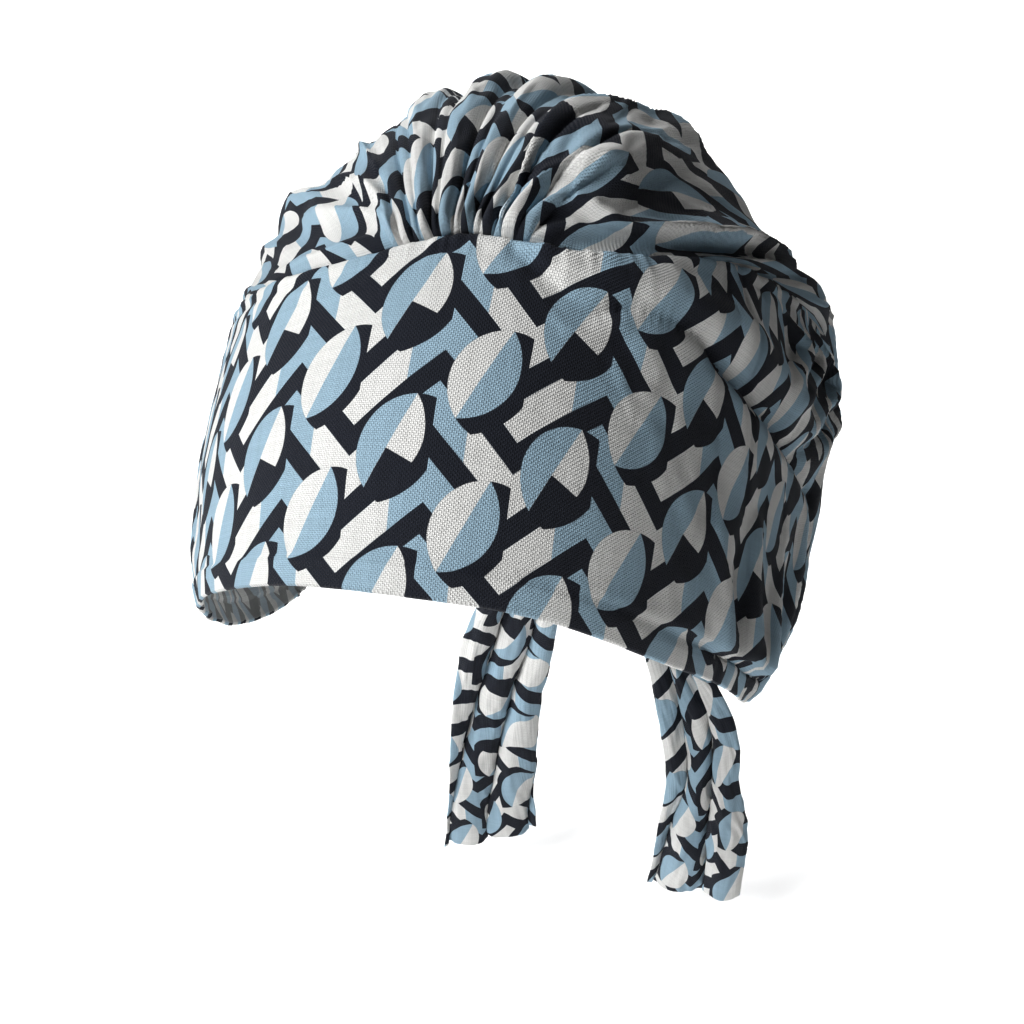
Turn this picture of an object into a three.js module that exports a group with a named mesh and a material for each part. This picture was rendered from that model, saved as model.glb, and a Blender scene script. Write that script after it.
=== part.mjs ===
// A ready-tied turban: a wide doubled brow band, a gathered crown sewn along the band's upper
// edge, an elastic casing round the nape, and a knot there with two hanging tails.
//
// Millimetres and degrees. +Z is up, the brow faces -Y and +X is the wearer's left. The origin is
// the middle of the head opening, level with the ears.

import * as THREE from 'three';

// ---- Driving dimensions ------------------------------------------------------------------

// The head that the turban is cut for: an egg, narrower below the temples.
const HEAD = { halfWidth: 75.4, halfDepth: 95, halfHeight: 111 };
const JAW = { startsAt: 20, reach: 70, narrowing: 0.14 };

const CLOTH = { band: 1.7, crown: 1.3, casing: 2.6 }; // wall thicknesses
const SEAM_TURN = 0.25; // the gap between two sewn pieces, in degrees round the head
const LINING_LIFT = 0.4; // the least clearance of any wall over the head

// Round the head each row has a place from the right ear (0) to the left ear (1), and a
// direction from the origin: lon is the turn away from the brow, lat the rise above the ears.
const RIM = [
  { at: 0.0, lon: -112, lat: -22, lift: 1.9 },
  { at: 0.1, lon: -90, lat: -19, lift: 1.9 },
  { at: 0.2, lon: -70, lat: -9, lift: 1.9 },
  { at: 0.3, lon: -48, lat: 10, lift: 1.9 },
  { at: 0.4, lon: -24, lat: 22.3, lift: 1.9 },
  { at: 0.5, lon: 1, lat: 26, lift: 1.9 },
  { at: 0.6, lon: 25, lat: 22.3, lift: 1.9 },
  { at: 0.7, lon: 49, lat: 9, lift: 1.9 },
  { at: 0.8, lon: 72, lat: -9, lift: 1.9 },
  { at: 0.9, lon: 95, lat: -19, lift: 2.1 },
  { at: 1.0, lon: 118, lat: -22, lift: 2.3 },
];

const SEAM = [
  { at: 0.0, lon: -112, lat: -10, lift: 3 },
  { at: 0.1, lon: -99, lat: 12, lift: 3 },
  { at: 0.2, lon: -84, lat: 32, lift: 2.6 },
  { at: 0.3, lon: -60, lat: 49.5, lift: 2.4 },
  { at: 0.4, lon: -26, lat: 63, lift: 2.4 },
  { at: 0.5, lon: 3, lat: 67.8, lift: 2.4 },
  { at: 0.6, lon: 38, lat: 64, lift: 3 },
  { at: 0.7, lon: 72, lat: 55, lift: 6 },
  { at: 0.8, lon: 92, lat: 43, lift: 8 },
  { at: 0.9, lon: 108, lat: 24, lift: 10 },
  { at: 1.0, lon: 118, lat: -10, lift: 4 },
];

// The crown's lower edge. The casing below it reaches on to the band's ends.
const NAPE = [
  { at: -0.06, lon: -112.5, lat: -10.8 },
  { at: 0.0, lon: -118.5, lat: -15 },
  { at: 0.12, lon: -137, lat: -19 },
  { at: 0.3, lon: -157, lat: -24 },
  { at: 0.5, lon: -180, lat: -26 },
  { at: 0.7, lon: -203, lat: -24 },
  { at: 0.88, lon: -219, lat: -19 },
  { at: 1.0, lon: -235, lat: -15 },
  { at: 1.06, lon: -241.5, lat: -10.8 },
];

// The band swells a little towards its gathered ends, most of all above its middle.
const BAND_SWELL = [
  { at: 0.0, swell: 3 },
  { at: 0.15, swell: 1.5 },
  { at: 0.3, swell: 0 },
  { at: 0.7, swell: 0.5 },
  { at: 0.85, swell: 3.2 },
  { at: 1.0, swell: 5.5 },
];
const SWELL_SHAPE = { lean: 0.8, fullness: 1.2 };

// The turned-up hem: its height and the place where its step has gone, as shares of the band's
// height, and how far it stands proud.
const HEM = { height: 0.075, gone: 0.14, step: 0.7 };

// Soft folds in the band, each from one place to another: across is the share of the way round
// from the right ear, along the share of the way up from the rim. A fold's near side is the one
// towards the right ear, and near and far are how wide it slopes on each side.
const BAND_FOLDS = [
  { across: 0.6, along: 0.93, toAcross: 0.75, toAlong: 0.9, height: 1.2, near: 9, far: 9 },
  { across: 0.77, along: 0.74, toAcross: 0.92, toAlong: 0.52, height: 1.4, near: 9, far: 5 },
  { across: 0.86, along: 0.16, toAcross: 0.93, toAlong: 0.7, height: 1.6, near: 6, far: 6 },
  { across: 0.93, along: 0.16, toAcross: 0.99, toAlong: 0.7, height: 1.6, near: 6, far: 6 },
];
const BAND_SIZE = { across: 440, along: 95 };

// How far the crown stands off the head, for each place across its cloth.
const CROWN_STATIONS = [0, 0.15, 0.4, 0.72, 1]; // seam, front, top, back, nape
const CROWN_LIFT = [
  { at: 0.0, front: 3, top: 3, back: 3, nape: 2 },
  { at: 0.12, front: 2.5, top: 3, back: 8, nape: 2.4 },
  { at: 0.25, front: 2, top: 2.6, back: 14, nape: 2.6 },
  { at: 0.35, front: 1.6, top: 2, back: 18, nape: 2.8 },
  { at: 0.5, front: 2.6, top: 5, back: 20, nape: 2.8 },
  { at: 0.62, front: 4, top: 7, back: 22, nape: 2.8 },
  { at: 0.75, front: 6, top: 8, back: 22, nape: 2.6 },
  { at: 0.88, front: 13.5, top: 17, back: 18, nape: 2.4 },
  { at: 1.0, front: 6, top: 6, back: 5, nape: 2 },
];

// Where each place across the crown's cloth is sewn along the band: a third of the cloth is
// gathered into the short stretch over the brow.
const GATHER = [
  { cloth: 0, seam: 0 },
  { cloth: 0.3, seam: 0.37 },
  { cloth: 0.36, seam: 0.41 },
  { cloth: 0.64, seam: 0.568 },
  { cloth: 0.7, seam: 0.61 },
  { cloth: 1, seam: 1 },
];
const PLEATS = { from: 0.36, to: 0.64, edge: 0.04, count: 13, height: 2.6, full: 0.04, gone: 0.34 };
const NAPE_TUCKS = { count: 11, height: 2.2, startsAt: 0.78, fullAt: 0.94 };

// The crown's main folds, in the same way: along runs from the seam over the top to the nape.
const CROWN_FOLDS = [
  // The crisp ridge that climbs from the gather to the top of the left side.
  { across: 0.555, along: 0.1, toAcross: 0.602, toAlong: 0.34, height: 5, near: 7, far: 26 },
  // The lower edge of the same drape, folded over the strip beside the seam.
  { across: 0.665, along: 0.11, toAcross: 0.72, toAlong: 0.34, height: 3.6, near: 24, far: 7 },
  // The pouch over the seam on the left side.
  { across: 0.76, along: 0.06, toAcross: 0.84, toAlong: 0.3, height: 3.5, near: 12, far: 14 },
  // The crease between them.
  { across: 0.735, along: 0.1, toAcross: 0.76, toAlong: 0.4, height: -2.5, near: 6, far: 6 },
  // The puff at the very top of the gather.
  { across: 0.475, along: 0.24, toAcross: 0.49, toAlong: 0.34, height: 3.5, near: 14, far: 14 },
  { across: 0.41, along: 0.12, toAcross: 0.405, toAlong: 0.3, height: 3, near: 9, far: 9 },
  // The corner of the right side, and the dip beside it.
  { across: 0.275, along: 0.1, toAcross: 0.265, toAlong: 0.34, height: 3.6, near: 14, far: 9 },
  { across: 0.33, along: 0.08, toAcross: 0.32, toAlong: 0.3, height: -1.2, near: 10, far: 10 },
  // Long soft folds down the back.
  { across: 0.3, along: 0.45, toAcross: 0.27, toAlong: 0.92, height: 4, near: 16, far: 16 },
  { across: 0.45, along: 0.5, toAcross: 0.42, toAlong: 0.92, height: 4, near: 16, far: 16 },
  { across: 0.58, along: 0.48, toAcross: 0.6, toAlong: 0.92, height: 4.5, near: 16, far: 16 },
  { across: 0.7, along: 0.42, toAcross: 0.75, toAlong: 0.9, height: 4, near: 15, far: 15 },
];
const CROWN_SIZE = { across: 700, along: 230 }; // the crown's cloth laid flat

// The casing hangs below the crown by a drop in degrees. Its edges are a share of its thickness.
const CASING = { drop: 8, edge: 0.55, ridges: 16, ridgeHeight: 0.9 };

// The knot hangs on the casing at the middle of the nape, down a share of the casing's drop. It
// is pressed in by a little, and leans back by a share of its height.
const KNOT = { width: 32, height: 26, depth: 19, squareness: 0.7, press: 1, hang: 0.75, lean: 0.42 };
const KNOT_WRAPS = { count: 3, depth: 1.6, twist: 0.9, reach: 0.96 };

// Each tail falls from under the knot. A row gives its middle, its breadth, its thickness and its
// turn about the upright.
const TAILS = [
  {
    name: 'tie_tail_left',
    rows: [
      { x: 10, y: 92, z: -76.8, breadth: 13, thick: 9, turn: 12 },
      { x: 25, y: 96, z: -93, breadth: 21, thick: 10, turn: 35 },
      { x: 38, y: 94, z: -115, breadth: 26, thick: 9, turn: 30 },
      { x: 50, y: 88, z: -142, breadth: 29, thick: 10, turn: 18 },
      { x: 55, y: 83, z: -172, breadth: 25, thick: 9, turn: 8 },
      { x: 56, y: 81, z: -202, breadth: 36, thick: 11, turn: 10 },
      { x: 55, y: 80, z: -236, breadth: 42, thick: 9, turn: 14 },
    ],
  },
  {
    name: 'tie_tail_right',
    rows: [
      { x: -8, y: 91, z: -77.5, breadth: 13, thick: 9, turn: -5 },
      { x: -15, y: 95, z: -98, breadth: 23, thick: 10, turn: -8 },
      { x: -21, y: 96, z: -126, breadth: 30, thick: 9, turn: -10 },
      { x: -26, y: 94, z: -158, breadth: 32, thick: 9, turn: -14 },
      { x: -28, y: 90, z: -192, breadth: 37, thick: 10, turn: -14 },
      { x: -28, y: 88, z: -236, breadth: 44, thick: 9, turn: -12 },
    ],
  },
];
const TAIL_LOBES = { count: 3, depth: 0.08 };

// How finely each piece is faceted.
const FACETS = {
  bandRound: 44,
  bandAboveHem: 5,
  crownSides: 17,
  crownPerPleat: 4,
  crownAlong: 18,
  crownCrowding: 1.25, // over 1, the rows crowd towards the seam
  casingRound: 46,
  casingDown: 4,
  knotRound: 18,
  knotUp: 10,
  tailSides: 10,
  tailSteps: 14,
};

const COLOURS = {
  band: { colour: '#8ea9c2', roughness: 0.9 },
  crown: { colour: '#7f9dba', roughness: 0.9 },
  tie: { colour: '#5f7690', roughness: 0.9 },
};

// ---- Shared geometry ---------------------------------------------------------------------

const { clamp, lerp, smoothstep, degToRad } = THREE.MathUtils;
const SEAM_STEP = 0.01; // how far along the seam its run is looked up, for its direction

/** Evenly stepped numbers from one value to another, both ends included. */
function steps(from, to, count) {
  return Array.from({ length: count + 1 }, (_, i) => lerp(from, to, i / count));
}

/** A smooth curve through a table's rows: every column of it, read at one place. */
function read(rows, place) {
  const last = rows.length - 1;
  const at = clamp(place, rows[0].at, rows[last].at);
  const i = clamp(rows.findIndex((row) => row.at > at) - 1, 0, last - 1);
  const left = at >= rows[last].at ? last - 1 : i;
  const span = rows[left + 1].at - rows[left].at;
  const t = (at - rows[left].at) / span;
  const slope = (index, key) => {
    const before = rows[Math.max(index - 1, 0)];
    const after = rows[Math.min(index + 1, last)];
    return (after[key] - before[key]) / (after.at - before.at);
  };
  const result = {};
  for (const key of Object.keys(rows[0])) {
    const a = rows[left][key];
    const b = rows[left + 1][key];
    const rise = (2 * t ** 3 - 3 * t ** 2 + 1) * a + (3 * t ** 2 - 2 * t ** 3) * b;
    const start = (t ** 3 - 2 * t ** 2 + t) * span * slope(left, key);
    const end = (t ** 3 - t ** 2) * span * slope(left + 1, key);
    result[key] = rise + start + end;
  }
  return result;
}

/** The unit direction of a turn away from the brow and a rise above the ears. */
function direction({ lon, lat }) {
  const [turn, rise] = [degToRad(lon), degToRad(lat)];
  const level = Math.cos(rise);
  return new THREE.Vector3(level * Math.sin(turn), -level * Math.cos(turn), Math.sin(rise));
}

/** A direction part of the way round the great circle from one direction to another. */
function between(start, end, share) {
  const angle = start.angleTo(end);
  const a = Math.sin((1 - share) * angle) / Math.sin(angle);
  const b = Math.sin(share * angle) / Math.sin(angle);
  return start.clone().multiplyScalar(a).addScaledVector(end, b).normalize();
}

/** The point that stands off the head by a lift, in a direction from the origin. */
function onHead(towards, lift) {
  const size = new THREE.Vector3(HEAD.halfWidth, HEAD.halfDepth, HEAD.halfHeight);
  const outward = towards.clone().divide(size).normalize();
  const point = towards.clone().multiply(size).addScaledVector(outward, lift);
  const lowness = smoothstep(JAW.startsAt - point.z, 0, JAW.reach);
  point.x *= 1 - JAW.narrowing * lowness;
  return point;
}

/** The height that a list of folds adds at one place on a piece of cloth of a given size. */
function foldHeight(folds, size, across, along) {
  let height = 0;
  for (const fold of folds) {
    const run = new THREE.Vector2(fold.toAcross - fold.across, fold.toAlong - fold.along);
    const here = new THREE.Vector2(across - fold.across, along - fold.along);
    run.multiply(new THREE.Vector2(size.across, size.along));
    here.multiply(new THREE.Vector2(size.across, size.along));
    const length = run.length();
    const aside = here.cross(run) / length;
    const beyond = Math.max(-here.dot(run), here.dot(run) - length ** 2, 0) / length;
    const slope = aside < 0 ? fold.near : fold.far;
    const taper = (fold.near + fold.far) / 2;
    height += fold.height * Math.exp(-((aside / slope) ** 2) - (beyond / taper) ** 2);
  }
  return height;
}

/** A closed body from its vertices and its triangles. */
function body(points, faces) {
  const geometry = new THREE.BufferGeometry();
  const numbers = points.flatMap((point) => point.toArray());
  geometry.setAttribute('position', new THREE.Float32BufferAttribute(numbers, 3));
  geometry.setIndex(faces);
  geometry.computeVertexNormals();
  return geometry;
}

/** A closed cloth wall between an outer and an inner face, each a point for (across, along). */
function clothWall(across, along, outer, inner) {
  const points = [];
  for (const face of [outer, inner]) {
    for (const u of across) {
      for (const v of along) points.push(face(u, v));
    }
  }
  const [columns, rows] = [across.length, along.length];
  const out = (i, j) => i * rows + j;
  const back = (i, j) => (columns + i) * rows + j;
  const faces = [];
  const quad = (a, b, c, d) => faces.push(a, b, c, a, c, d);
  for (let i = 0; i < columns - 1; i++) {
    for (let j = 0; j < rows - 1; j++) {
      quad(out(i, j), out(i + 1, j), out(i + 1, j + 1), out(i, j + 1));
      quad(back(i, j), back(i, j + 1), back(i + 1, j + 1), back(i + 1, j));
    }
    const end = rows - 1;
    quad(out(i + 1, 0), out(i, 0), back(i, 0), back(i + 1, 0));
    quad(out(i, end), out(i + 1, end), back(i + 1, end), back(i, end));
  }
  for (let j = 0; j < rows - 1; j++) {
    const end = columns - 1;
    quad(out(0, j), out(0, j + 1), back(0, j + 1), back(0, j));
    quad(out(end, j + 1), out(end, j), back(end, j), back(end, j + 1));
  }
  return body(points, faces);
}

/** A closed body through rings of points, each ring running anticlockwise seen from its end. */
function loft(rings) {
  const sides = rings[0].length;
  const points = rings.flat();
  const centre = (ring) => {
    const sum = ring.reduce((total, point) => total.add(point), new THREE.Vector3());
    return sum.divideScalar(ring.length);
  };
  points.push(centre(rings[0]), centre(rings.at(-1)));
  const [first, last] = [points.length - 2, points.length - 1];
  const faces = [];
  for (let k = 0; k < sides; k++) {
    const next = (k + 1) % sides;
    for (let ring = 0; ring < rings.length - 1; ring++) {
      const [low, high] = [ring * sides, (ring + 1) * sides];
      faces.push(low + k, low + next, high + next, low + k, high + next, high + k);
    }
    const top = (rings.length - 1) * sides;
    faces.push(first, next, k, last, top + k, top + next);
  }
  return body(points, faces);
}

/** A named part in its own cloth. */
function part(name, geometry, { colour, roughness }) {
  const material = new THREE.MeshStandardMaterial({ color: colour, roughness, metalness: 0 });
  material.side = THREE.DoubleSide;
  const mesh = new THREE.Mesh(geometry, material);
  mesh.name = name;
  return mesh;
}

// ---- Brow band ---------------------------------------------------------------------------

function browBand() {
  const face = (wall) => (across, along) => {
    const [rim, seam] = [read(RIM, across), read(SEAM, across)];
    const bulge = Math.sin(Math.PI * along ** SWELL_SHAPE.lean) ** SWELL_SHAPE.fullness;
    const swell = read(BAND_SWELL, across).swell * bulge;
    const folds = foldHeight(BAND_FOLDS, BAND_SIZE, across, along);
    const hem = HEM.step * (1 - smoothstep(along, HEM.height, HEM.gone));
    const lift = lerp(rim.lift, seam.lift, along) + swell + folds - wall + (wall ? 0 : hem);
    return onHead(between(direction(rim), direction(seam), along), Math.max(lift, LINING_LIFT));
  };
  const across = steps(0, 1, FACETS.bandRound);
  const along = [0, HEM.height, ...steps(HEM.gone, 1, FACETS.bandAboveHem)];
  return part('brow_band', clothWall(across, along, face(0), face(CLOTH.band)), COLOURS.band);
}

// ---- Crown -------------------------------------------------------------------------------

/** The place along the seam where a place across the crown's cloth is sewn. */
function sewnAt(across) {
  const next = Math.max(GATHER.findIndex((row) => row.cloth >= across), 1);
  const [a, b] = [GATHER[next - 1], GATHER[next]];
  return lerp(a.seam, b.seam, (across - a.cloth) / (b.cloth - a.cloth));
}

/** The direction just behind the seam, clear of the band's edge. */
function behindSeam(place) {
  const [before, here, after] = [-SEAM_STEP, 0, SEAM_STEP].map((step) =>
    direction(read(SEAM, place + step)),
  );
  const backward = here.clone().cross(after.sub(before)).normalize();
  return here.addScaledVector(backward, degToRad(SEAM_TURN)).normalize();
}

/** The smooth form of the crown's outside: its direction from the origin and its lift. */
function crownForm(across, along) {
  const seam = read(SEAM, sewnAt(across));
  const nape = read(NAPE, across);
  const { front, top, back, nape: hem } = read(CROWN_LIFT, across);
  const lifts = [seam.lift, front, top, back, hem];
  const next = Math.max(CROWN_STATIONS.findIndex((station) => station >= along), 1);
  const share = smoothstep(along, CROWN_STATIONS[next - 1], CROWN_STATIONS[next]);
  const towards = between(behindSeam(sewnAt(across)), direction(nape), along);
  return { towards, lift: lerp(lifts[next - 1], lifts[next], share) };
}

/** How high the small gathers stand at the seam and at the nape. */
function gathers(across, along) {
  const pleat = (across - PLEATS.from) / (PLEATS.to - PLEATS.from);
  const begun = smoothstep(pleat, -PLEATS.edge, PLEATS.edge);
  const ended = smoothstep(pleat, 1 - PLEATS.edge, 1 + PLEATS.edge);
  const fading = (1 - smoothstep(along, PLEATS.full, PLEATS.gone)) * (begun - ended);
  const crest = 0.5 - 0.5 * Math.cos(2 * Math.PI * PLEATS.count * pleat);
  const tuck = 0.5 - 0.5 * Math.cos(2 * Math.PI * NAPE_TUCKS.count * across);
  const rising = smoothstep(along, NAPE_TUCKS.startsAt, NAPE_TUCKS.fullAt);
  return PLEATS.height * crest * fading + NAPE_TUCKS.height * tuck * rising;
}

function crown() {
  const form = (across, along) => {
    const { towards, lift } = crownForm(across, along);
    return { towards, lift: lift + foldHeight(CROWN_FOLDS, CROWN_SIZE, across, along) };
  };
  const outer = (across, along) => {
    const { towards, lift } = form(across, along);
    return onHead(towards, Math.max(lift, LINING_LIFT + CLOTH.crown) + gathers(across, along));
  };
  const inner = (across, along) => {
    const { towards, lift } = form(across, along);
    return onHead(towards, Math.max(lift - CLOTH.crown, LINING_LIFT));
  };
  const across = [
    ...steps(0, PLEATS.from, FACETS.crownSides).slice(0, -1),
    ...steps(PLEATS.from, PLEATS.to, FACETS.crownPerPleat * PLEATS.count),
    ...steps(PLEATS.to, 1, FACETS.crownSides).slice(1),
  ];
  const along = steps(0, 1, FACETS.crownAlong).map((share) => share ** FACETS.crownCrowding);
  return part('crown', clothWall(across, along, outer, inner), COLOURS.crown);
}

// ---- Casing round the nape ---------------------------------------------------------------

function napeCasing() {
  const face = (wall) => (across, along) => {
    const nape = read(NAPE, across);
    const below = nape.lat - SEAM_TURN - along * CASING.drop;
    const crest = Math.cos(2 * Math.PI * CASING.ridges * across);
    const roll = Math.sqrt(Math.sin(Math.PI * along));
    const thickness = wall * lerp(CASING.edge, 1, roll);
    const lift = LINING_LIFT + thickness + CASING.ridgeHeight * crest * roll;
    return onHead(direction({ lon: nape.lon, lat: below }), wall ? lift : LINING_LIFT);
  };
  const across = steps(NAPE[0].at, NAPE.at(-1).at, FACETS.casingRound);
  const along = steps(0, 1, FACETS.casingDown);
  const walls = clothWall(across, along, face(CLOTH.casing), face(0));
  return part('nape_casing', walls, COLOURS.crown);
}

// ---- Knot and tails ----------------------------------------------------------------------

function tieKnot() {
  const casing = read(NAPE, 0.5);
  const middle = direction({ lon: casing.lon, lat: casing.lat - KNOT.hang * CASING.drop });
  const centre = onHead(middle, CLOTH.casing + CASING.ridgeHeight - KNOT.press + KNOT.depth / 2);
  const rings = steps(-1, 1, FACETS.knotUp).map((height) => {
    const rise = (height * KNOT_WRAPS.reach * Math.PI) / 2;
    const level = Math.cos(rise) ** KNOT.squareness;
    return steps(0, 1, FACETS.knotRound).slice(0, -1).map((share) => {
      const turn = 2 * Math.PI * share;
      const wrap = Math.cos(KNOT_WRAPS.count * (turn + KNOT_WRAPS.twist * rise));
      const swell = 1 - (KNOT_WRAPS.depth / KNOT.width) * (1 - wrap) * Math.cos(rise);
      const x = (KNOT.width / 2) * level * Math.cos(turn) * swell;
      const y = (KNOT.depth / 2) * level * Math.sin(turn) * swell;
      const z = (KNOT.height / 2) * Math.sin(rise);
      return new THREE.Vector3(x, y + KNOT.lean * z, z).add(centre);
    });
  });
  return part('tie_knot', loft(rings), COLOURS.tie);
}

function tieTail({ name, rows }) {
  const placed = rows.map((row, index) => ({ at: index / (rows.length - 1), ...row }));
  const rings = steps(1, 0, FACETS.tailSteps).map((share) => {
    const { x, y, z, breadth, thick, turn } = read(placed, share);
    const flat = degToRad(turn);
    return steps(0, 1, FACETS.tailSides).slice(0, -1).map((side) => {
      const angle = 2 * Math.PI * side;
      const lobe = 1 - TAIL_LOBES.depth * (1 - Math.cos(TAIL_LOBES.count * angle));
      const wide = (breadth / 2) * Math.cos(angle) * lobe;
      const deep = (thick / 2) * Math.sin(angle) * lobe;
      const aside = wide * Math.cos(flat) + deep * Math.sin(flat);
      const away = deep * Math.cos(flat) - wide * Math.sin(flat);
      return new THREE.Vector3(x + aside, y + away, z);
    });
  });
  return part(name, loft(rings), COLOURS.tie);
}

const turban = new THREE.Group();
turban.add(browBand(), crown(), napeCasing(), tieKnot(), ...TAILS.map(tieTail));

export default turban;
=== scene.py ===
"""A ready-tied turban of light printed cloth, worn form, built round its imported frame.

The brow band is doubled and turned up at the rim. The crown is one piece of cloth, gathered into
the band's upper edge over the brow and drawn in again at the nape, where an elastic casing ends in
two ties knotted together. Everything is worked out on the egg of a head, in millimetres and
degrees, and made in metres.
"""

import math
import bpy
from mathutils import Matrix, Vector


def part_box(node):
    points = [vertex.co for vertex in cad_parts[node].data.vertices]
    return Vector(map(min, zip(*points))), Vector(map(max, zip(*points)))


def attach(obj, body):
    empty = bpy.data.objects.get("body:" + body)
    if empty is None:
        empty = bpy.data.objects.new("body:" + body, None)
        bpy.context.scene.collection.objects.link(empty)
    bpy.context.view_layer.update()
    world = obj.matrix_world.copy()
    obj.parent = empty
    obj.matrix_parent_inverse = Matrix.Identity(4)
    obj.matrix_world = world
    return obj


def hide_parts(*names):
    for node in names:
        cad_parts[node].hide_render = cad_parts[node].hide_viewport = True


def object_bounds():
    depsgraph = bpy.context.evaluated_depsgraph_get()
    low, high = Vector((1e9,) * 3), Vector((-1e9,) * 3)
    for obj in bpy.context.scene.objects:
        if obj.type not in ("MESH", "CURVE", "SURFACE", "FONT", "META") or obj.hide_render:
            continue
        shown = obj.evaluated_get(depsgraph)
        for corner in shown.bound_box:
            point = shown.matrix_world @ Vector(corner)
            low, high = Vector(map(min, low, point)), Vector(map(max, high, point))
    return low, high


bl_info = {
    "name": "Ready-tied turban",
    "version": (1, 0, 0),
    "blender": (4, 5, 0),
    "location": "3D View > Sidebar > Turban",
    "description": "Builds the cloth pieces of a ready-tied turban and a plain stage for it",
    "category": "Object",
}

import bpy
import numpy as np
from mathutils import Matrix, Vector

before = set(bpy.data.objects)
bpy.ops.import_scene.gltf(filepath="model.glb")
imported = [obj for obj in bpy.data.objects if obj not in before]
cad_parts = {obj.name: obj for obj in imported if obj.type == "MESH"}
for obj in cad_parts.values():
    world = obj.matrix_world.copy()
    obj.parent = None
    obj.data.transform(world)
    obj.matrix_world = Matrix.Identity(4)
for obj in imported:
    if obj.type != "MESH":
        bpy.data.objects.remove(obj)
CAD_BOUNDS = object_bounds()
MM = 0.001


# ---- Tables ------------------------------------------------------------------------------


class Table:
    """A short table with named columns, read smoothly between its rows."""

    def __init__(self, columns, rows):
        self.names = columns.split()
        self.values = np.array(rows, float)

    def read(self, place):
        """Every column at a place or at many, found by the first column."""
        at, values = self.values[:, 0], self.values
        last = len(at) - 1
        before = np.maximum(np.arange(last + 1) - 1, 0)
        after = np.minimum(np.arange(last + 1) + 1, last)
        rates = (values[after] - values[before]) / (at[after] - at[before])[:, None]
        place = np.clip(np.asarray(place, float), at[0], at[-1])
        left = np.clip(np.searchsorted(at, place, side="right") - 1, 0, last - 1)
        span = (at[left + 1] - at[left])[..., None]
        t = (place - at[left])[..., None] / span
        rise = (2 * t**3 - 3 * t**2 + 1) * values[left] + (3 * t**2 - 2 * t**3) * values[left + 1]
        start = (t**3 - 2 * t**2 + t) * span * rates[left]
        end = (t**3 - t**2) * span * rates[left + 1]
        found = rise + start + end
        return {name: found[..., i] for i, name in enumerate(self.names)}

    def rows(self):
        """The rows one by one, each by its columns' names."""
        return [dict(zip(self.names, row)) for row in self.values]


# The head that the turban is cut for: an egg, narrower below the temples.
HEAD = {"half_width": 75.4, "half_depth": 95.0, "half_height": 111.0}
JAW = {"starts_at": 20.0, "reach": 70.0, "narrowing": 0.14}
LEAST_LIFT = 0.5  # no cloth comes nearer to the head

# Round the head a row has a place from the right ear (0) to the left ear (1), and a direction
# from the origin: lon is the turn away from the brow, lat the rise above the ears.
RIM = Table(
    "at lon lat lift",
    [
        (0.0, -112, -22, 1.9),
        (0.1, -90, -19, 1.9),
        (0.2, -70, -9, 1.9),
        (0.3, -48, 10, 1.9),
        (0.4, -24, 22.3, 1.9),
        (0.5, 1, 26, 1.9),
        (0.6, 25, 22.3, 1.9),
        (0.7, 49, 9, 1.9),
        (0.8, 72, -9, 1.9),
        (0.9, 95, -19, 2.1),
        (1.0, 118, -22, 2.3),
    ],
)
SEAM = Table(
    "at lon lat lift",
    [
        (0.0, -112, -10, 3),
        (0.1, -99, 12, 3),
        (0.2, -84, 32, 2.6),
        (0.3, -60, 49.5, 2.4),
        (0.4, -26, 63, 2.4),
        (0.5, 3, 67.8, 2.4),
        (0.6, 38, 64, 3),
        (0.7, 72, 55, 6),
        (0.8, 92, 43, 8),
        (0.9, 108, 24, 10),
        (1.0, 118, -10, 4),
    ],
)
NAPE = Table(
    "at lon lat",
    [
        (-0.06, -112.5, -10.8),
        (0.0, -118.5, -15),
        (0.12, -137, -19),
        (0.3, -157, -24),
        (0.5, -180, -26),
        (0.7, -203, -24),
        (0.88, -219, -19),
        (1.0, -235, -15),
        (1.06, -241.5, -10.8),
    ],
)


# ---- The head and the cloth on it --------------------------------------------------------


def smooth(value, start, end):
    """0 before start, 1 after end, and a smooth rise between."""
    t = np.clip((value - start) / (end - start), 0, 1)
    return t * t * (3 - 2 * t)


def aside(across, middle, start, end):
    """0 near a middle place across a piece, and 1 well to either side of it."""
    return smooth(np.abs(across - middle), start, end)


def grid(first, second):
    """Places both ways over a piece. Each way is a start, an end and how many places."""
    return np.meshgrid(np.linspace(*first), np.linspace(*second), indexing="ij")


def unit(vectors):
    """Vectors of length one."""
    return vectors / np.maximum(np.linalg.norm(vectors, axis=-1, keepdims=True), 1e-12)


def direction(lon, lat):
    """The unit direction of a turn away from the brow and a rise above the ears."""
    turn, rise = np.radians(lon), np.radians(lat)
    return np.stack([np.cos(rise) * np.sin(turn), -np.cos(rise) * np.cos(turn), np.sin(rise)], -1)


def between(start, end, share):
    """A direction part of the way round the great circle from one direction to another."""
    angle = np.arccos(np.clip((start * end).sum(-1), -1, 1))[..., None]
    share = share[..., None]
    way = (np.sin((1 - share) * angle) * start + np.sin(share * angle) * end) / np.sin(angle)
    return unit(way)


def on_head(towards, lift):
    """Points that stand off the head by a lift, in directions from the origin."""
    size = np.array([HEAD["half_width"], HEAD["half_depth"], HEAD["half_height"]])
    points = towards * size + unit(towards / size) * lift[..., None]
    low = smooth(JAW["starts_at"] - points[..., 2], 0, JAW["reach"])
    points[..., 0] *= 1 - JAW["narrowing"] * low
    return points


def slopes(points):
    """The steps of a grid of points along its two ways."""
    return np.gradient(points, axis=0), np.gradient(points, axis=1)


def outward(points):
    """The unit normals of a grid of points, on the side away from the head."""
    along_first, along_second = slopes(points)
    return unit(np.cross(along_first, along_second))


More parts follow.
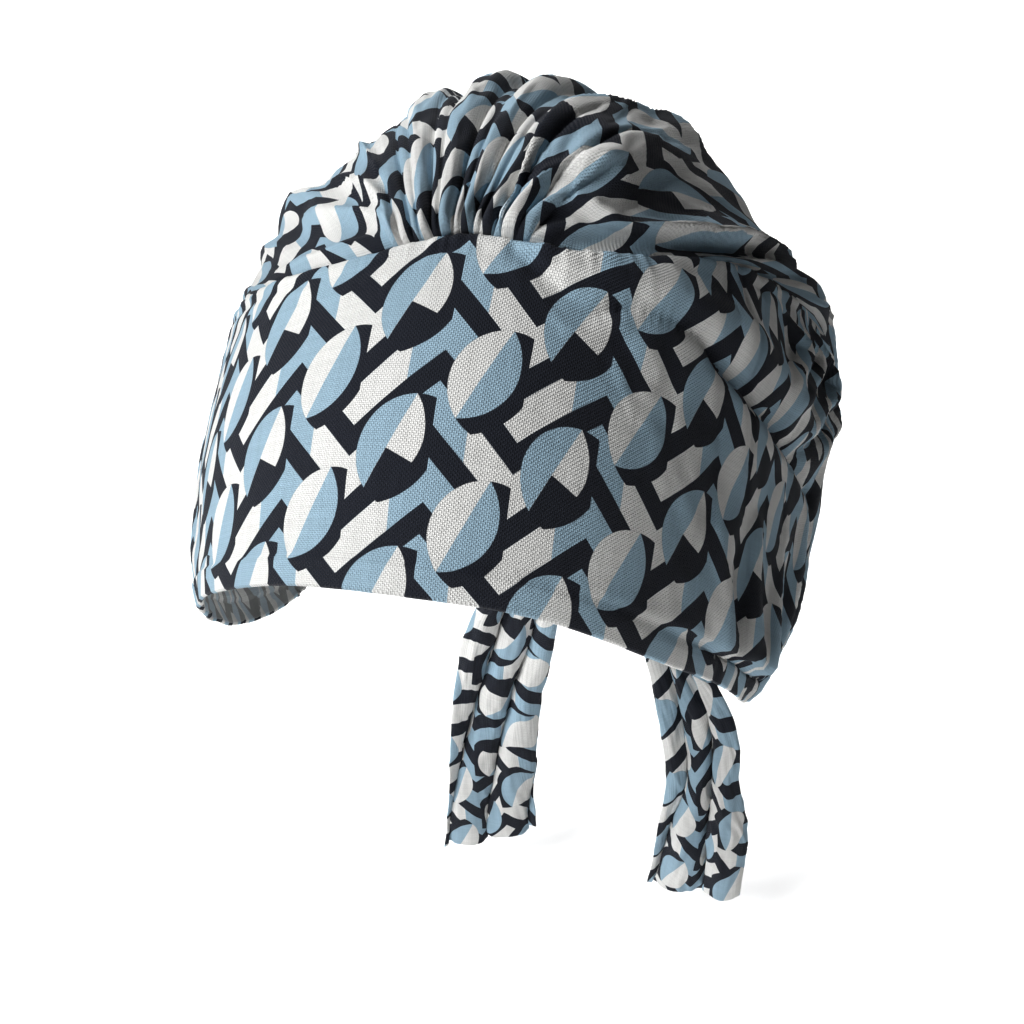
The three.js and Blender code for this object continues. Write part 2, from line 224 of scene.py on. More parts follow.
def run_length(points, axis):
    """How far each point of a grid lies along its line, measured on the cloth."""
    steps = np.linalg.norm(np.diff(points, axis=axis), axis=-1)
    start = np.zeros_like(np.take(steps, [0], axis=axis))
    return np.concatenate([start, np.cumsum(steps, axis=axis)], axis=axis)


def flat_run(form, fuller):
    """How far each point lies across the flat cloth from the middle, where cloth is drawn in."""
    steps = np.linalg.norm(np.diff(form, axis=0), axis=-1) * (fuller[1:] + fuller[:-1]) / 2
    run = np.concatenate([np.zeros_like(steps[:1]), np.cumsum(steps, axis=0)])
    return run - run[len(run) // 2]


class Noise:
    """Smooth, repeatable bumps over a plane, between -1 and 1."""

    def __init__(self, seed, size=256):
        self.size = size
        self.heights = np.random.RandomState(seed).uniform(-1, 1, (size, size))

    def __call__(self, x, y):
        x0, y0 = np.floor(x).astype(int), np.floor(y).astype(int)
        fx, fy = smooth(x - x0, 0, 1), smooth(y - y0, 0, 1)
        h, n = self.heights, self.size
        low = h[x0 % n, y0 % n] * (1 - fx) + h[(x0 + 1) % n, y0 % n] * fx
        high = h[x0 % n, (y0 + 1) % n] * (1 - fx) + h[(x0 + 1) % n, (y0 + 1) % n] * fx
        return low * (1 - fy) + high * fy


def bumps(layer, across, along, shift=0, seed=0):
    """Smooth bumps, from a layer's seed and its numbers of bumps each way. They can be shifted
    across, and another seed can be added."""
    noise = Noise(layer["seed"] + seed)
    return noise(across * layer["across"] + shift, along * layer["along"])


class Fold:
    """A soft or crisp fold. Its run is a list of (across, along, height), in shares of the piece
    and millimetres. Near and far are how wide it slopes on the left and on the right of its run.
    Sharp is 2 for a soft crest and 1 for a crisp one. A lean pushes the crest over to the right."""

    def __init__(self, run, near, far, sharp=2.0, lean=0.0):
        self.run = run
        self.near, self.far = near, far
        self.sharp, self.lean = sharp, lean

    def path(self, size, count=60):
        """The run as a smooth line of places on the flat cloth, and the height at each."""
        rows = [(i, *place) for i, place in enumerate(self.run)]
        found = Table("at across along height", rows).read(np.linspace(0, len(rows) - 1, count))
        line = np.stack([found["across"] * size[0], found["along"] * size[1]], -1)
        return line, found["height"]


FOLD_REACH = 2.2  # how far from its run a fold is worked out, in widths of its slopes
LEAN_HEIGHT = 4.0  # the height at which a crest leans by the whole of its fold's lean


def add_folds(points, folds, size, across, along):
    """A grid of points with folds raised on it."""
    normal = outward(points)
    step_across, step_along = (unit(step) for step in slopes(points))
    moved = points.copy()
    place = np.stack([across * size[0], along * size[1]], -1)
    for fold in folds:
        line, heights = fold.path(size)
        reach = FOLD_REACH * max(fold.near, fold.far)
        low, high = line.min(0) - reach, line.max(0) + reach
        close = ((place > low) & (place < high)).all(-1)
        away = place[close][:, None, :] - line
        nearest = (away**2).sum(-1).argmin(1)
        ahead = unit(np.gradient(line, axis=0))[nearest]
        side = np.stack([ahead[:, 1], -ahead[:, 0]], -1)
        away = np.take_along_axis(away, nearest[:, None, None], 1)[:, 0]
        aside = (away * side).sum(-1)
        beyond = (away * ahead).sum(-1)
        slope = np.where(aside < 0, fold.near, fold.far)
        crest = np.exp(-(np.abs(aside / slope) ** fold.sharp))
        crest *= np.exp(-((beyond / (0.5 * (fold.near + fold.far))) ** 2))
        moved[close] += (heights[nearest] * crest)[:, None] * normal[close]
        sideways = step_across[close] * side[:, :1] + step_along[close] * side[:, 1:]
        leaning = fold.lean * (np.abs(heights[nearest]) / LEAN_HEIGHT * crest)
        moved[close] += leaning[:, None] * sideways
    return moved


def keep_off_head(points, clearance):
    """A grid of points, none of them nearer to the head than a clearance."""
    size = np.array([HEAD["half_width"], HEAD["half_depth"], HEAD["half_height"]])
    low = smooth(JAW["starts_at"] - points[..., 2], 0, JAW["reach"])
    taper = np.ones(points.shape)
    taper[..., 0] = 1 - JAW["narrowing"] * low
    round_head = points / taper / size
    reach = np.linalg.norm(round_head, axis=-1, keepdims=True)
    towards = round_head / reach
    standing = (reach - 1) * np.linalg.norm(towards * size, axis=-1, keepdims=True)
    lacking = np.maximum(clearance - standing, 0)
    return points + lacking * unit(towards / size) * taper


def added(name, data):
    """A new object in the scene."""
    thing = bpy.data.objects.new(name, data)
    bpy.context.scene.collection.objects.link(thing)
    return thing


# The cloth solver works best on things a few metres wide, so a piece settles ten times enlarged.
# No place moves further than the most, in millimetres.
SETTLING = {"scale": 10.0, "frames": 16, "most": 7.0}
CLOTH = {
    "quality": 5,
    "mass": 0.004,
    "air_damping": 1.5,
    "tension_stiffness": 15.0,
    "compression_stiffness": 15.0,
    "shear_stiffness": 5.0,
    "bending_stiffness": 0.04,
}
WEIGHT_LEVELS = 40  # how finely a vertex group's weights are told apart


def weigh(body, name, weights):
    """A vertex group whose weights, from 0 to 1, are rounded to a few levels."""
    group = body.vertex_groups.new(name=name)
    levels = np.round(weights.ravel() * WEIGHT_LEVELS).astype(int)
    for level in np.unique(levels):
        group.add(np.flatnonzero(levels == level).tolist(), level / WEIGHT_LEVELS, "REPLACE")
    return group.name


def halfway_too(values):
    """The rows of a grid and, on a smooth curve through them, the rows halfway between."""
    before, after = 2 * values[:1] - values[1:2], 2 * values[-1:] - values[-2:-1]
    padded = np.concatenate([before, values, after])
    full = np.empty((2 * len(values) - 1, *values.shape[1:]))
    full[::2] = values
    full[1::2] = (9 * (padded[1:-2] + padded[2:-1]) - padded[:-3] - padded[3:]) / 16
    return full


def evened(values):
    """The rows of a grid without its finest zigzag, which cloth is too stiff for."""
    padded = np.concatenate([values[:1], values[:1], values, values[-1:], values[-1:]])
    next_but_one = padded[:-4] + padded[4:]
    next_to_it = padded[1:-3] + padded[3:-1]
    even = (10 * values + 4 * next_to_it - next_but_one) / 16
    even[0], even[-1] = values[0], values[-1]
    return even


def settled(points, held, slack):
    """A grid of points after its cloth has buckled, being larger than its place by the slack. Held
    is 1 where the cloth is sewn down and 0 where it is free."""
    start = points[::2, ::2]
    index = np.arange(start[..., 0].size).reshape(start.shape[:2])
    faces = np.stack([index[:-1, :-1], index[1:, :-1], index[1:, 1:], index[:-1, 1:]], -1)
    enlarged = MM * SETTLING["scale"]
    mesh = bpy.data.meshes.new("settling")
    mesh.from_pydata((start.reshape(-1, 3) * enlarged).tolist(), [], faces.reshape(-1, 4).tolist())
    body = added("settling", mesh)
    most_slack = float(slack.max())
    modifier = body.modifiers.new("cloth", "CLOTH")
    cloth = modifier.settings
    cloth.vertex_group_mass = weigh(body, "held", held[::2, ::2])
    cloth.vertex_group_shrink = weigh(body, "slack", slack[::2, ::2] / most_slack)
    cloth.shrink_min = 0.0
    cloth.shrink_max = -most_slack
    for name, value in CLOTH.items():
        setattr(cloth, name, value)
    cloth.effector_weights.gravity = 0
    modifier.collision_settings.use_collision = False
    modifier.point_cache.frame_start = 1
    modifier.point_cache.frame_end = SETTLING["frames"]
    for number in range(1, SETTLING["frames"] + 1):
        bpy.context.scene.frame_set(number)
    seen = body.evaluated_get(bpy.context.evaluated_depsgraph_get())
    found = np.empty(3 * len(mesh.vertices))
    seen.data.vertices.foreach_get("co", found)
    bpy.data.objects.remove(body)
    bpy.data.meshes.remove(mesh)
    bpy.context.scene.frame_set(1)
    move = found.reshape(start.shape) / enlarged - start
    length = np.linalg.norm(move, axis=-1, keepdims=True)
    move *= np.minimum(1, SETTLING["most"] / np.maximum(length, 1e-9))
    finer = halfway_too(evened(move)).swapaxes(0, 1)
    return points + halfway_too(evened(finer)).swapaxes(0, 1)


CLOTH_MAP = "cloth"


def cloth_piece(name, points, thickness, cloth, settings, doubled=False):
    """A closed piece of cloth with rounded edges, from the grid of its outer face. A doubled one
    shows its printed side on both faces."""
    normal = outward(points)
    inner = points - thickness * normal
    middle = points - thickness / 2 * normal
    along = unit(slopes(points)[1])
    low_edge = middle[:, :1] - thickness / 2 * along[:, :1]
    high_edge = middle[:, -1:] + thickness / 2 * along[:, -1:]
    rings = np.concatenate([points, high_edge, inner[:, ::-1], low_edge], axis=1)
    flat = np.concatenate([cloth, cloth[:, -1:], cloth[:, ::-1], cloth[:, :1]], axis=1)
    columns, rows = points.shape[:2]
    ring = 2 * rows + 2
    index = np.arange(columns * ring).reshape(columns, ring)
    turned = np.roll(index, -1, axis=1)
    sides = np.stack([index[:-1], index[1:], turned[1:], turned[:-1]], -1).reshape(-1, 4)
    # Each place of the outer face has a mate on the inner one, and the two ends join them.
    mate = 2 * rows - np.arange(rows)
    ends = []
    for column, order in ((0, (0, 1, 2, 3)), (columns - 1, (3, 2, 1, 0))):
        corner = [index[column, : rows - 1], index[column, 1:rows]]
        corner += [index[column, mate[1:]], index[column, mate[: rows - 1]]]
        ends.append(np.stack([corner[i] for i in order], -1))
    faces = np.concatenate([sides, *ends])
    inside = np.zeros(len(faces), bool)
    row_of = np.tile(np.arange(ring), columns - 1)
    inside[: len(sides)] = (row_of > rows) & (row_of < 2 * rows) & (not doubled)
    return mesh_object(name, rings.reshape(-1, 3), faces, flat.reshape(-1, 2), inside, settings)


def mesh_object(name, points, faces, cloth, inside, settings):
    """A smooth object of the frame's own body, with the cloth's flat places as its UV map."""
    mesh = bpy.data.meshes.new(name)
    mesh.from_pydata((points * MM).tolist(), [], faces.tolist())
    mesh.validate()
    corners = np.empty(len(mesh.loops), int)
    mesh.loops.foreach_get("vertex_index", corners)
    layer = mesh.uv_layers.new(name=CLOTH_MAP)
    layer.uv.foreach_set("vector", (cloth[corners] * MM).astype(np.float32).ravel())
    mesh.materials.append(printed_cloth("cloth_printed_side", settings, 0.0))
    mesh.materials.append(printed_cloth("cloth_reverse_side", settings, settings.reverse_fading))
    mesh.polygons.foreach_set("material_index", inside.astype(int))
    mesh.polygons.foreach_set("use_smooth", np.ones(len(faces), bool))
    mesh.update()
    piece = added(name, mesh)
    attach(piece, "root")
    return piece


# ---- Materials ---------------------------------------------------------------------------


def math_node(operation):
    """A method that puts a Math node after a Term."""

    def after(term, *others):
        return term.math(operation, *others)

    return after


class Term:
    """A number that changes over the surface. Sums with it become Math nodes."""

    def __init__(self, tree, socket):
        self.tree = tree
        self.socket = socket

    def math(self, operation, *others):
        node = self.tree.nodes.new("ShaderNodeMath")
        node.operation = operation
        for slot, value in enumerate((self, *others)):
            if isinstance(value, Term):
                self.tree.links.new(value.socket, node.inputs[slot])
            else:
                node.inputs[slot].default_value = value
        return Term(self.tree, node.outputs[0])

    __add__, __sub__ = math_node("ADD"), math_node("SUBTRACT")
    __mul__, __truediv__ = math_node("MULTIPLY"), math_node("DIVIDE")
    __pow__, root = math_node("POWER"), math_node("SQRT")
    size, sine = math_node("ABSOLUTE"), math_node("SINE")
    floor, wrapped = math_node("FLOOR"), math_node("FLOORED_MODULO")
    most = math_node("MAXIMUM")

    def __neg__(self):
        return self * -1.0

    def inside(self, softness):
        """1 where the number is below zero and 0 above, with a soft step between."""
        node = (self / -softness + 0.5).math("MULTIPLY", 1.0)
        node.socket.node.use_clamp = True
        return node


def mixed(tree, share, first, second, blend="MIX"):
    """A colour between two, each a socket or a colour."""
    node = tree.nodes.new("ShaderNodeMix")
    node.data_type = "RGBA"
    node.blend_type = blend
    links = ((share, "Factor_Float"), (first, "A_Color"), (second, "B_Color"))
    for value, identifier in links:
        target = next(s for s in node.inputs if s.identifier == identifier)
        if isinstance(value, Term):
            tree.links.new(value.socket, target)
        elif isinstance(value, bpy.types.NodeSocket):
            tree.links.new(value, target)
        else:
            target.default_value = value
    return next(s for s in node.outputs if s.identifier == "Result_Color")


def new_group(name, inputs, outputs):
    """An empty shader node group, with its input and output nodes."""
    tree = bpy.data.node_groups.new(name, "ShaderNodeTree")
    for socket_name, kind, value in inputs:
        socket = tree.interface.new_socket(name=socket_name, in_out="INPUT", socket_type=kind)
        if value is not None:
            socket.default_value = value
    for socket_name, kind in outputs:
        tree.interface.new_socket(name=socket_name, in_out="OUTPUT", socket_type=kind)
    return tree, tree.nodes.new("NodeGroupInput"), tree.nodes.new("NodeGroupOutput")


# The print, in millimetres on the flat cloth: lanes of zigzag bars with a pointed leaf in each,
# dropped by half a repeat from lane to lane. A leaf is the overlap of two discs, with a dark
# crescent on one side.
PRINT = {
    "lane": 17.2,
    "repeat": 31.0,
    "bar_slope": 0.95,
    "bar_from": 3.4,
    "bar_to": 12.4,
    "tip_width": -1.6,
    "leaf_length": 21.5,
    "leaf_width": 13.2,
    "leaf_turn": -24.0,
    "shade_width": 3.4,
    "notch": -1.6,
    "edge": 0.14,
}


def print_group():
    """The printed design: two light inks on a dark ground."""
    if "Printed design" in bpy.data.node_groups:
        return bpy.data.node_groups["Printed design"]
    tree, given, result = new_group(
        "Printed design",
        [
            ("Cloth", "NodeSocketVector", None),
            ("Ground", "NodeSocketColor", (0.01, 0.01, 0.02, 1)),
            ("Blue", "NodeSocketColor", (0.2, 0.4, 0.6, 1)),
            ("Light", "NodeSocketColor", (0.8, 0.8, 0.8, 1)),
        ],
        [("Color", "NodeSocketColor")],
    )
    place = tree.nodes.new("ShaderNodeSeparateXYZ")
    tree.links.new(given.outputs["Cloth"], place.inputs[0])
    x, y = Term(tree, place.outputs[0]) / MM, Term(tree, place.outputs[1]) / MM
    lane, repeat, edge = PRINT["lane"], PRINT["repeat"], PRINT["edge"]
    number = (x / lane).floor()
    odd = number.wrapped(2.0)
    from_middle = x - (number + 0.5) * lane
    up = (y + odd * (repeat / 2)).wrapped(repeat) - repeat / 2
    hand = -(odd * 2.0) + 1.0
    slant = (up + hand * from_middle * PRINT["bar_slope"] + repeat / 4).wrapped(repeat / 2)
    bar = (-slant + PRINT["bar_from"]).inside(edge) * (slant - PRINT["bar_to"]).inside(edge)
    tip = bar * (-(from_middle * hand) + PRINT["tip_width"]).inside(edge)
    turn = math.radians(PRINT["leaf_turn"])
    over = from_middle * math.cos(turn) + up * math.sin(turn)
    rise = up * math.cos(turn) - from_middle * math.sin(turn)
    half_length, half_width = PRINT["leaf_length"] / 2, PRINT["leaf_width"] / 2
    offset = (half_length**2 - half_width**2) / (2 * half_width)
    radius = offset + half_width
    height = rise * rise
    right = ((over + offset) ** 2.0 + height).root()
    left = ((over - offset) * (over - offset) + height).root()
    outline = right.most(left) - radius
    shade = (right - PRINT["shade_width"]).most(left) - radius
    half = over.inside(edge)
    notch = odd * (rise - PRINT["notch"]).inside(edge) * (-over).inside(edge)
    ground, blue, light = (given.outputs[name] for name in ("Ground", "Blue", "Light"))
    back = mixed(tree, tip, mixed(tree, bar, ground, blue), light)
    back = mixed(tree, shade.inside(edge), back, ground)
    even_leaf = mixed(tree, half, blue, light)
    odd_leaf = mixed(tree, notch, mixed(tree, half, light, blue), ground)
    leaf = mixed(tree, odd, even_leaf, odd_leaf)
    colour = mixed(tree, outline.inside(edge), back, leaf)
    tree.links.new(colour, result.inputs["Color"])
    return tree


# How round the weave's threads look, and the fine streaks of thick and thin thread along them.
WEAVE = {"roundness": 0.6, "streak_width": 0.012}
STREAKS = {"Scale": 1400, "Detail": 1}


def noise_texture(tree, place, values):
    """A Noise Texture node at a place, with its own values."""
    noise = tree.nodes.new("ShaderNodeTexNoise")
    for name, value in values.items():
        noise.inputs[name].default_value = value
    tree.links.new(place, noise.inputs["Vector"])
    return noise


def weave_group():
    """Plain weave: how high each thread stands, and how light it is: painted shade, darker where a
    thread lies low between the crossings, and threads of uneven thickness.
    """
    if "Plain weave" in bpy.data.node_groups:
        return bpy.data.node_groups["Plain weave"]
    tree, given, result = new_group(
        "Plain weave",
        [
            ("Cloth", "NodeSocketVector", None),
            ("Thread spacing", "NodeSocketFloat", 0.0005),
            ("Slub", "NodeSocketFloat", 0.3),
        ],
        [("Height", "NodeSocketFloat"), ("Shade", "NodeSocketFloat")],
    )
    place = tree.nodes.new("ShaderNodeSeparateXYZ")
    tree.links.new(given.outputs["Cloth"], place.inputs[0])
    spacing = Term(tree, given.outputs["Thread spacing"])
    warp = Term(tree, place.outputs[0]) / spacing
    weft = Term(tree, place.outputs[1]) / spacing
    over_warp = (warp * math.pi).sine()
    over_weft = (weft * math.pi).sine()
    crossing = (warp.floor() + weft.floor()).wrapped(2.0)
    warp_height = over_warp.size() ** WEAVE["roundness"]
    weft_height = over_weft.size() ** WEAVE["roundness"]
    height = warp_height * crossing + weft_height * (-crossing + 1.0)
    # Threads of uneven thickness: long thin streaks both ways.
    streaks = []
    narrow = WEAVE["streak_width"]
    for name, stretch in (("Warp slubs", (1, narrow, 1)), ("Weft slubs", (narrow, 1, 1))):
        scaled = tree.nodes.new("ShaderNodeVectorMath")
        scaled.operation = "MULTIPLY"
        scaled.inputs[1].default_value = stretch
        tree.links.new(given.outputs["Cloth"], scaled.inputs[0])
        noise = noise_texture(tree, scaled.outputs[0], STREAKS)
        noise.label = name
        streaks.append(Term(tree, noise.outputs["Fac"]) - 0.5)
    uneven = (streaks[0] + streaks[1]) * Term(tree, given.outputs["Slub"])
    tree.links.new((height + uneven).socket, result.inputs["Height"])
    # Shade is painted shade: the colour is darker where a thread lies low between the crossings.
    # The threads' real unevenness is added to it.
    tree.links.new((height * 0.5 + 0.5 + uneven).socket, result.inputs["Shade"])
    return tree


# Small soft creases, and how many to a metre.
CREASES = {"Detail": 3, "Roughness": 0.45, "Distortion": 0.6}
CREASE_SCALE = 90.0


def crumple_group():
    """Small soft creases in light cloth, as a height."""
    if "Crumpled cloth" in bpy.data.node_groups:
        return bpy.data.node_groups["Crumpled cloth"]
    tree, given, result = new_group(
        "Crumpled cloth",
        [("Cloth", "NodeSocketVector", None), ("Scale", "NodeSocketFloat", CREASE_SCALE)],
        [("Height", "NodeSocketFloat")],
    )
    noise = noise_texture(tree, given.outputs["Cloth"], CREASES)
    tree.links.new(given.outputs["Scale"], noise.inputs["Scale"])
    tree.links.new(noise.outputs["Fac"], result.inputs["Height"])
    return tree


def placed_group(tree, group, **values):
    """A node group set in a material, with its own values."""
    node = tree.nodes.new("ShaderNodeGroup")
    node.node_tree = group
    for name, value in values.items():
        socket = node.inputs[name.replace("_", " ")]
        if isinstance(value, bpy.types.NodeSocket):
            tree.links.new(value, socket)
        else:
            socket.default_value = value
    return node


def faded(colour, towards, share):
    """A colour moved part of the way to another."""
    return tuple(a + (b - a) * share for a, b in zip(colour, towards))


# Light cloth that is matt, with the faintest bloom of loose fibres.
FINISH = {
    "Roughness": 0.88,
    "Specular IOR Level": 0.5,
    "Sheen Weight": 0.05,
    "Sheen Roughness": 0.5,
}


def printed_cloth(name, settings, fading):
    """Light matt plain-weave cloth, printed on one side. The ink shows less on the reverse."""
    if name in bpy.data.materials:
        return bpy.data.materials[name]
    material = bpy.data.materials.new(name)
    material.use_nodes = True
    tree = material.node_tree
    shader = tree.nodes["Principled BSDF"]
    cloth = tree.nodes.new("ShaderNodeUVMap")
    cloth.uv_map = CLOTH_MAP
    base = tuple(settings.light)
    inks = {
        "Ground": faded(settings.ground, base, fading),
        "Blue": faded(settings.blue, base, fading),
        "Light": base,
    }
    design = placed_group(tree, print_group(), Cloth=cloth.outputs["UV"], **inks)
    weave = placed_group(
        tree,
        weave_group(),
        Cloth=cloth.outputs["UV"],
        Thread_spacing=settings.thread_spacing,
        Slub=settings.slub,
    )
    # The weave's painted shade darkens the printed colour between the threads, as strongly as the
    # thread shade setting says, together with the uneven threads.
    darkening = settings.thread_shade
    shade = Term(tree, weave.outputs["Shade"]) * darkening + (1 - darkening)
    grey = tree.nodes.new("ShaderNodeCombineColor")
    for channel in grey.inputs:
        tree.links.new(shade.socket, channel)
    colour = mixed(tree, 1.0, design.outputs["Color"], grey.outputs[0], "MULTIPLY")
    tree.links.new(colour, shader.inputs["Base Color"])
    creases = placed_group(tree, crumple_group(), Cloth=cloth.outputs["UV"])
    normal = None
    for height, depth in ((creases, settings.crumple), (weave, settings.weave_depth)):
        bump = tree.nodes.new("ShaderNodeBump")
        bump.inputs["Distance"].default_value = depth
        tree.links.new(height.outputs["Height"], bump.inputs["Height"])
        if normal is not None:
            tree.links.new(normal, bump.inputs["Normal"])
        normal = bump.outputs["Normal"]
    tree.links.new(normal, shader.inputs["Normal"])
    for name, value in FINISH.items():
        shader.inputs[name].default_value = value
    return material


# ---- Brow band ---------------------------------------------------------------------------

# How much further the band stands off the head between its rim and its seam.
BAND_SWELL = Table(
    "at swell",
    [
        (0.0, -0.6),
        (0.05, 1.5),
        (0.15, 1.5),
        (0.3, 0),
        (0.7, 0),
        (0.78, -0.8),
        (0.88, -0.6),
        (0.95, 0.6),
        (1.0, -1.2),
    ],
)
SWELL_SHAPE = {"lean": 0.8, "fullness": 1.2}
BAND_SIZE = (440.0, 95.0)  # rough, to place the folds by
# The turned-up hem's step, in millimetres, and where on the way up it ends.
HEM = {"step": 0.7, "height": 0.075, "gone": 0.09}
BAND_FOLDS = (
    # The crease that leaves the seam left of the gather and runs down to the left ear.
    Fold([(0.545, 0.99, -0.6), (0.577, 0.905, -2.4), (0.605, 0.825, -2.2), (0.65, 0.85, -2),
          (0.693, 0.805, -2.6), (0.716, 0.735, -4), (0.75, 0.674, -4.6), (0.782, 0.611, -4.4),
          (0.82, 0.53, -2.6)], near=2.6, far=2.9, sharp=1.4),
    # The puffed strip between that crease and the seam.
    Fold([(0.575, 0.965, 1.8), (0.634, 0.935, 2.4), (0.7, 0.87, 2.8), (0.76, 0.78, 3),
          (0.8, 0.7, 2.6), (0.84, 0.6, 1.4)], near=6, far=6),
    # The whorl of twisted folds over the left ear, between the seam and that crease.
    Fold([(0.8, 0.93, 0.6), (0.815, 0.885, 3), (0.822, 0.86, 3.6), (0.804, 0.805, 3.4),
          (0.784, 0.755, 1.6)], near=2.2, far=2.2, sharp=1.5),
    Fold([(0.825, 0.92, 0.8), (0.844, 0.872, 3.6), (0.835, 0.815, 3.8), (0.8, 0.742, 3),
          (0.785, 0.7, 1)], near=2.2, far=2.4, sharp=1.5),
    Fold([(0.862, 0.93, 2), (0.872, 0.86, 4.4), (0.868, 0.8, 4.2), (0.835, 0.72, 3.4),
          (0.81, 0.655, 1.4)], near=2.6, far=2.4, sharp=1.5),
    Fold([(0.9, 0.92, 2), (0.905, 0.83, 4.2), (0.885, 0.74, 3.8), (0.845, 0.655, 2.6),
          (0.825, 0.6, 0.8)], near=2.8, far=2.6, sharp=1.5),
    # The hollow beside the whorl.
    Fold([(0.862, 0.74, -1), (0.84, 0.69, -2.6), (0.812, 0.64, -2.4), (0.795, 0.6, -1)],
         near=2, far=2, sharp=1.4),
    # The body of the band sags over the turned-up hem, more and more towards the left ear.
    Fold([(0.6, 0.105, 0.2), (0.65, 0.11, 0.6), (0.69, 0.105, 1.4), (0.715, 0.1, 2.4),
          (0.74, 0.105, 3.2), (0.765, 0.1, 2.6)], near=7, far=1.7, sharp=1.7, lean=1.2),
    # The stitched line at the top of the hem.
    Fold([(0.58, 0.08, -0.2), (0.63, 0.08, -0.5), (0.69, 0.07, -1), (0.74, 0.065, -1.6),
          (0.79, 0.06, -1.4)], near=1.4, far=1.4, sharp=1.6),
    # Long folds that fan up from the gathered hem by the left ear, and the first crease between.
    Fold([(0.714, 0.11, 1.6), (0.712, 0.2, 1.8), (0.706, 0.34, 0.6)], near=4, far=2.4, sharp=1.5),
    Fold([(0.726, 0.11, -1.6), (0.724, 0.18, -2.2), (0.722, 0.27, -1.6), (0.722, 0.36, -0.4)],
         near=1.6, far=1.8, sharp=1.5),
    Fold([(0.743, 0.08, 2.2), (0.738, 0.17, 3), (0.738, 0.27, 2.2), (0.742, 0.4, 0.8)],
         near=2.8, far=2.2, sharp=1.5),
    Fold([(0.755, 0.04, 1.6), (0.756, 0.13, 3), (0.764, 0.24, 2.6), (0.775, 0.4, 1.2)],
         near=2.6, far=2.2, sharp=1.5),
    Fold([(0.775, 0.04, 1.6), (0.782, 0.15, 3), (0.795, 0.28, 2.4), (0.808, 0.45, 1)],
         near=3, far=2.4, sharp=1.5),
    Fold([(0.805, 0.04, 1.6), (0.818, 0.2, 2.8), (0.832, 0.36, 2.2), (0.84, 0.52, 0.8)],
         near=3.6, far=2.8, sharp=1.5),
    Fold([(0.84, 0.05, 1.6), (0.858, 0.25, 2.6), (0.872, 0.5, 1.6)], near=4, far=3, sharp=1.5),
    Fold([(0.885, 0.05, 1.8), (0.905, 0.35, 2.6), (0.92, 0.62, 1.4)], near=5, far=3.5, sharp=1.6),
    Fold([(0.93, 0.06, 1.6), (0.945, 0.4, 2.4), (0.955, 0.75, 1.4)], near=4, far=4, sharp=1.6),
    Fold([(0.965, 0.08, 1), (0.97, 0.4, 1.2), (0.975, 0.75, 0.8)], near=3, far=3, sharp=1.6),
    # The same by the right ear, shallower.
    Fold([(0.17, 0.12, 0.8), (0.14, 0.4, 1.1), (0.12, 0.7, 0.6)], near=6, far=6),
    Fold([(0.11, 0.1, 1), (0.09, 0.4, 1.3), (0.075, 0.7, 0.8)], near=5, far=5),
    Fold([(0.05, 0.1, 1), (0.045, 0.4, 1.2), (0.045, 0.75, 0.8)], near=4, far=4),
)


def band_form(across, along):
    """The smooth outside of the band."""
    rim, seam = RIM.read(across), SEAM.read(across)
    bulge = np.sin(np.pi * along ** SWELL_SHAPE["lean"]) ** SWELL_SHAPE["fullness"]
    lift = rim["lift"] + (seam["lift"] - rim["lift"]) * along
    lift = lift + BAND_SWELL.read(across)["swell"] * bulge
    start, end = direction(rim["lon"], rim["lat"]), direction(seam["lon"], seam["lat"])
    return on_head(between(start, end, along), lift)


# How much longer the band's cloth is than its place: everywhere, and more by the ears. Three
# numbers are a middle across the piece, and how far from it a thing starts and how far it is full.
BAND_SLACK = {"least": 0.01, "by_ears": 0.022, "starts_to_full": (0.48, 0.12, 0.35)}
# The band is sewn down up to 1 mm from the seam and at the rim. It is free from 9 mm below the
# seam, and from a tenth of the way up. The stitches keep its folds down this far from the seam.
BAND_SEWN = {"seam": (1.0, 9.0), "rim": (0.0, 0.1)}
SEAM_HOLDS = 1.5
# The narrow rolled lip where the band's edge is turned in at the seam, and the groove under it.
LIP = {"below": 1.2, "width": 1.0, "height": 0.75, "groove": 0.5, "groove_below": 3.4, "mean": 0.6}
# How the lip's strength changes from its mean, finely and broadly.
LIP_CHANGES = (
    {"seed": 8, "across": 60, "along": 0, "share": 0.4},
    {"seed": 9, "across": 23, "along": 0, "share": 0.35},
)
# Small puckers drawn up by the stitches of the seam.
PUCKERS = {"seed": 12, "height": 0.7, "across": 95, "along": 2, "reach": 5}
# Slight ripples all over, nearly gone at the brow.
BAND_RIPPLES = {"brow": 0.25, "starts_to_full": (0.48, 0.2, 0.45), "height": 0.7}
BROAD_RIPPLES = {"seed": 14, "across": 9, "along": 2.4}
FINE_RIPPLES = {"seed": 15, "across": 34, "along": 3.2, "slant": 3}
# Elastic in the rim draws the band together by the ears, in upright tucks that widen upwards.
EAR_TUCKS = {
    "seed": 31,
    "starts": 0.66,
    "full": 0.77,
    "across": 58.0,
    "along": 1.7,
    "closer_at_rim": 0.8,
    "height": 2.4,
    "right_height": 1.6,
    "fades": 0.6,
    "taken_in": 1.2,
    "roundness": 0.7,
    "sewn_end": 0.03,
}


def taken_in(across, along):
    """How far the elastic has drawn the band in, from 0 to 1."""
    by_ear = smooth(np.abs(across - 0.5) + 0.5, EAR_TUCKS["starts"], EAR_TUCKS["full"])
    return by_ear * (1 - EAR_TUCKS["fades"] * along)


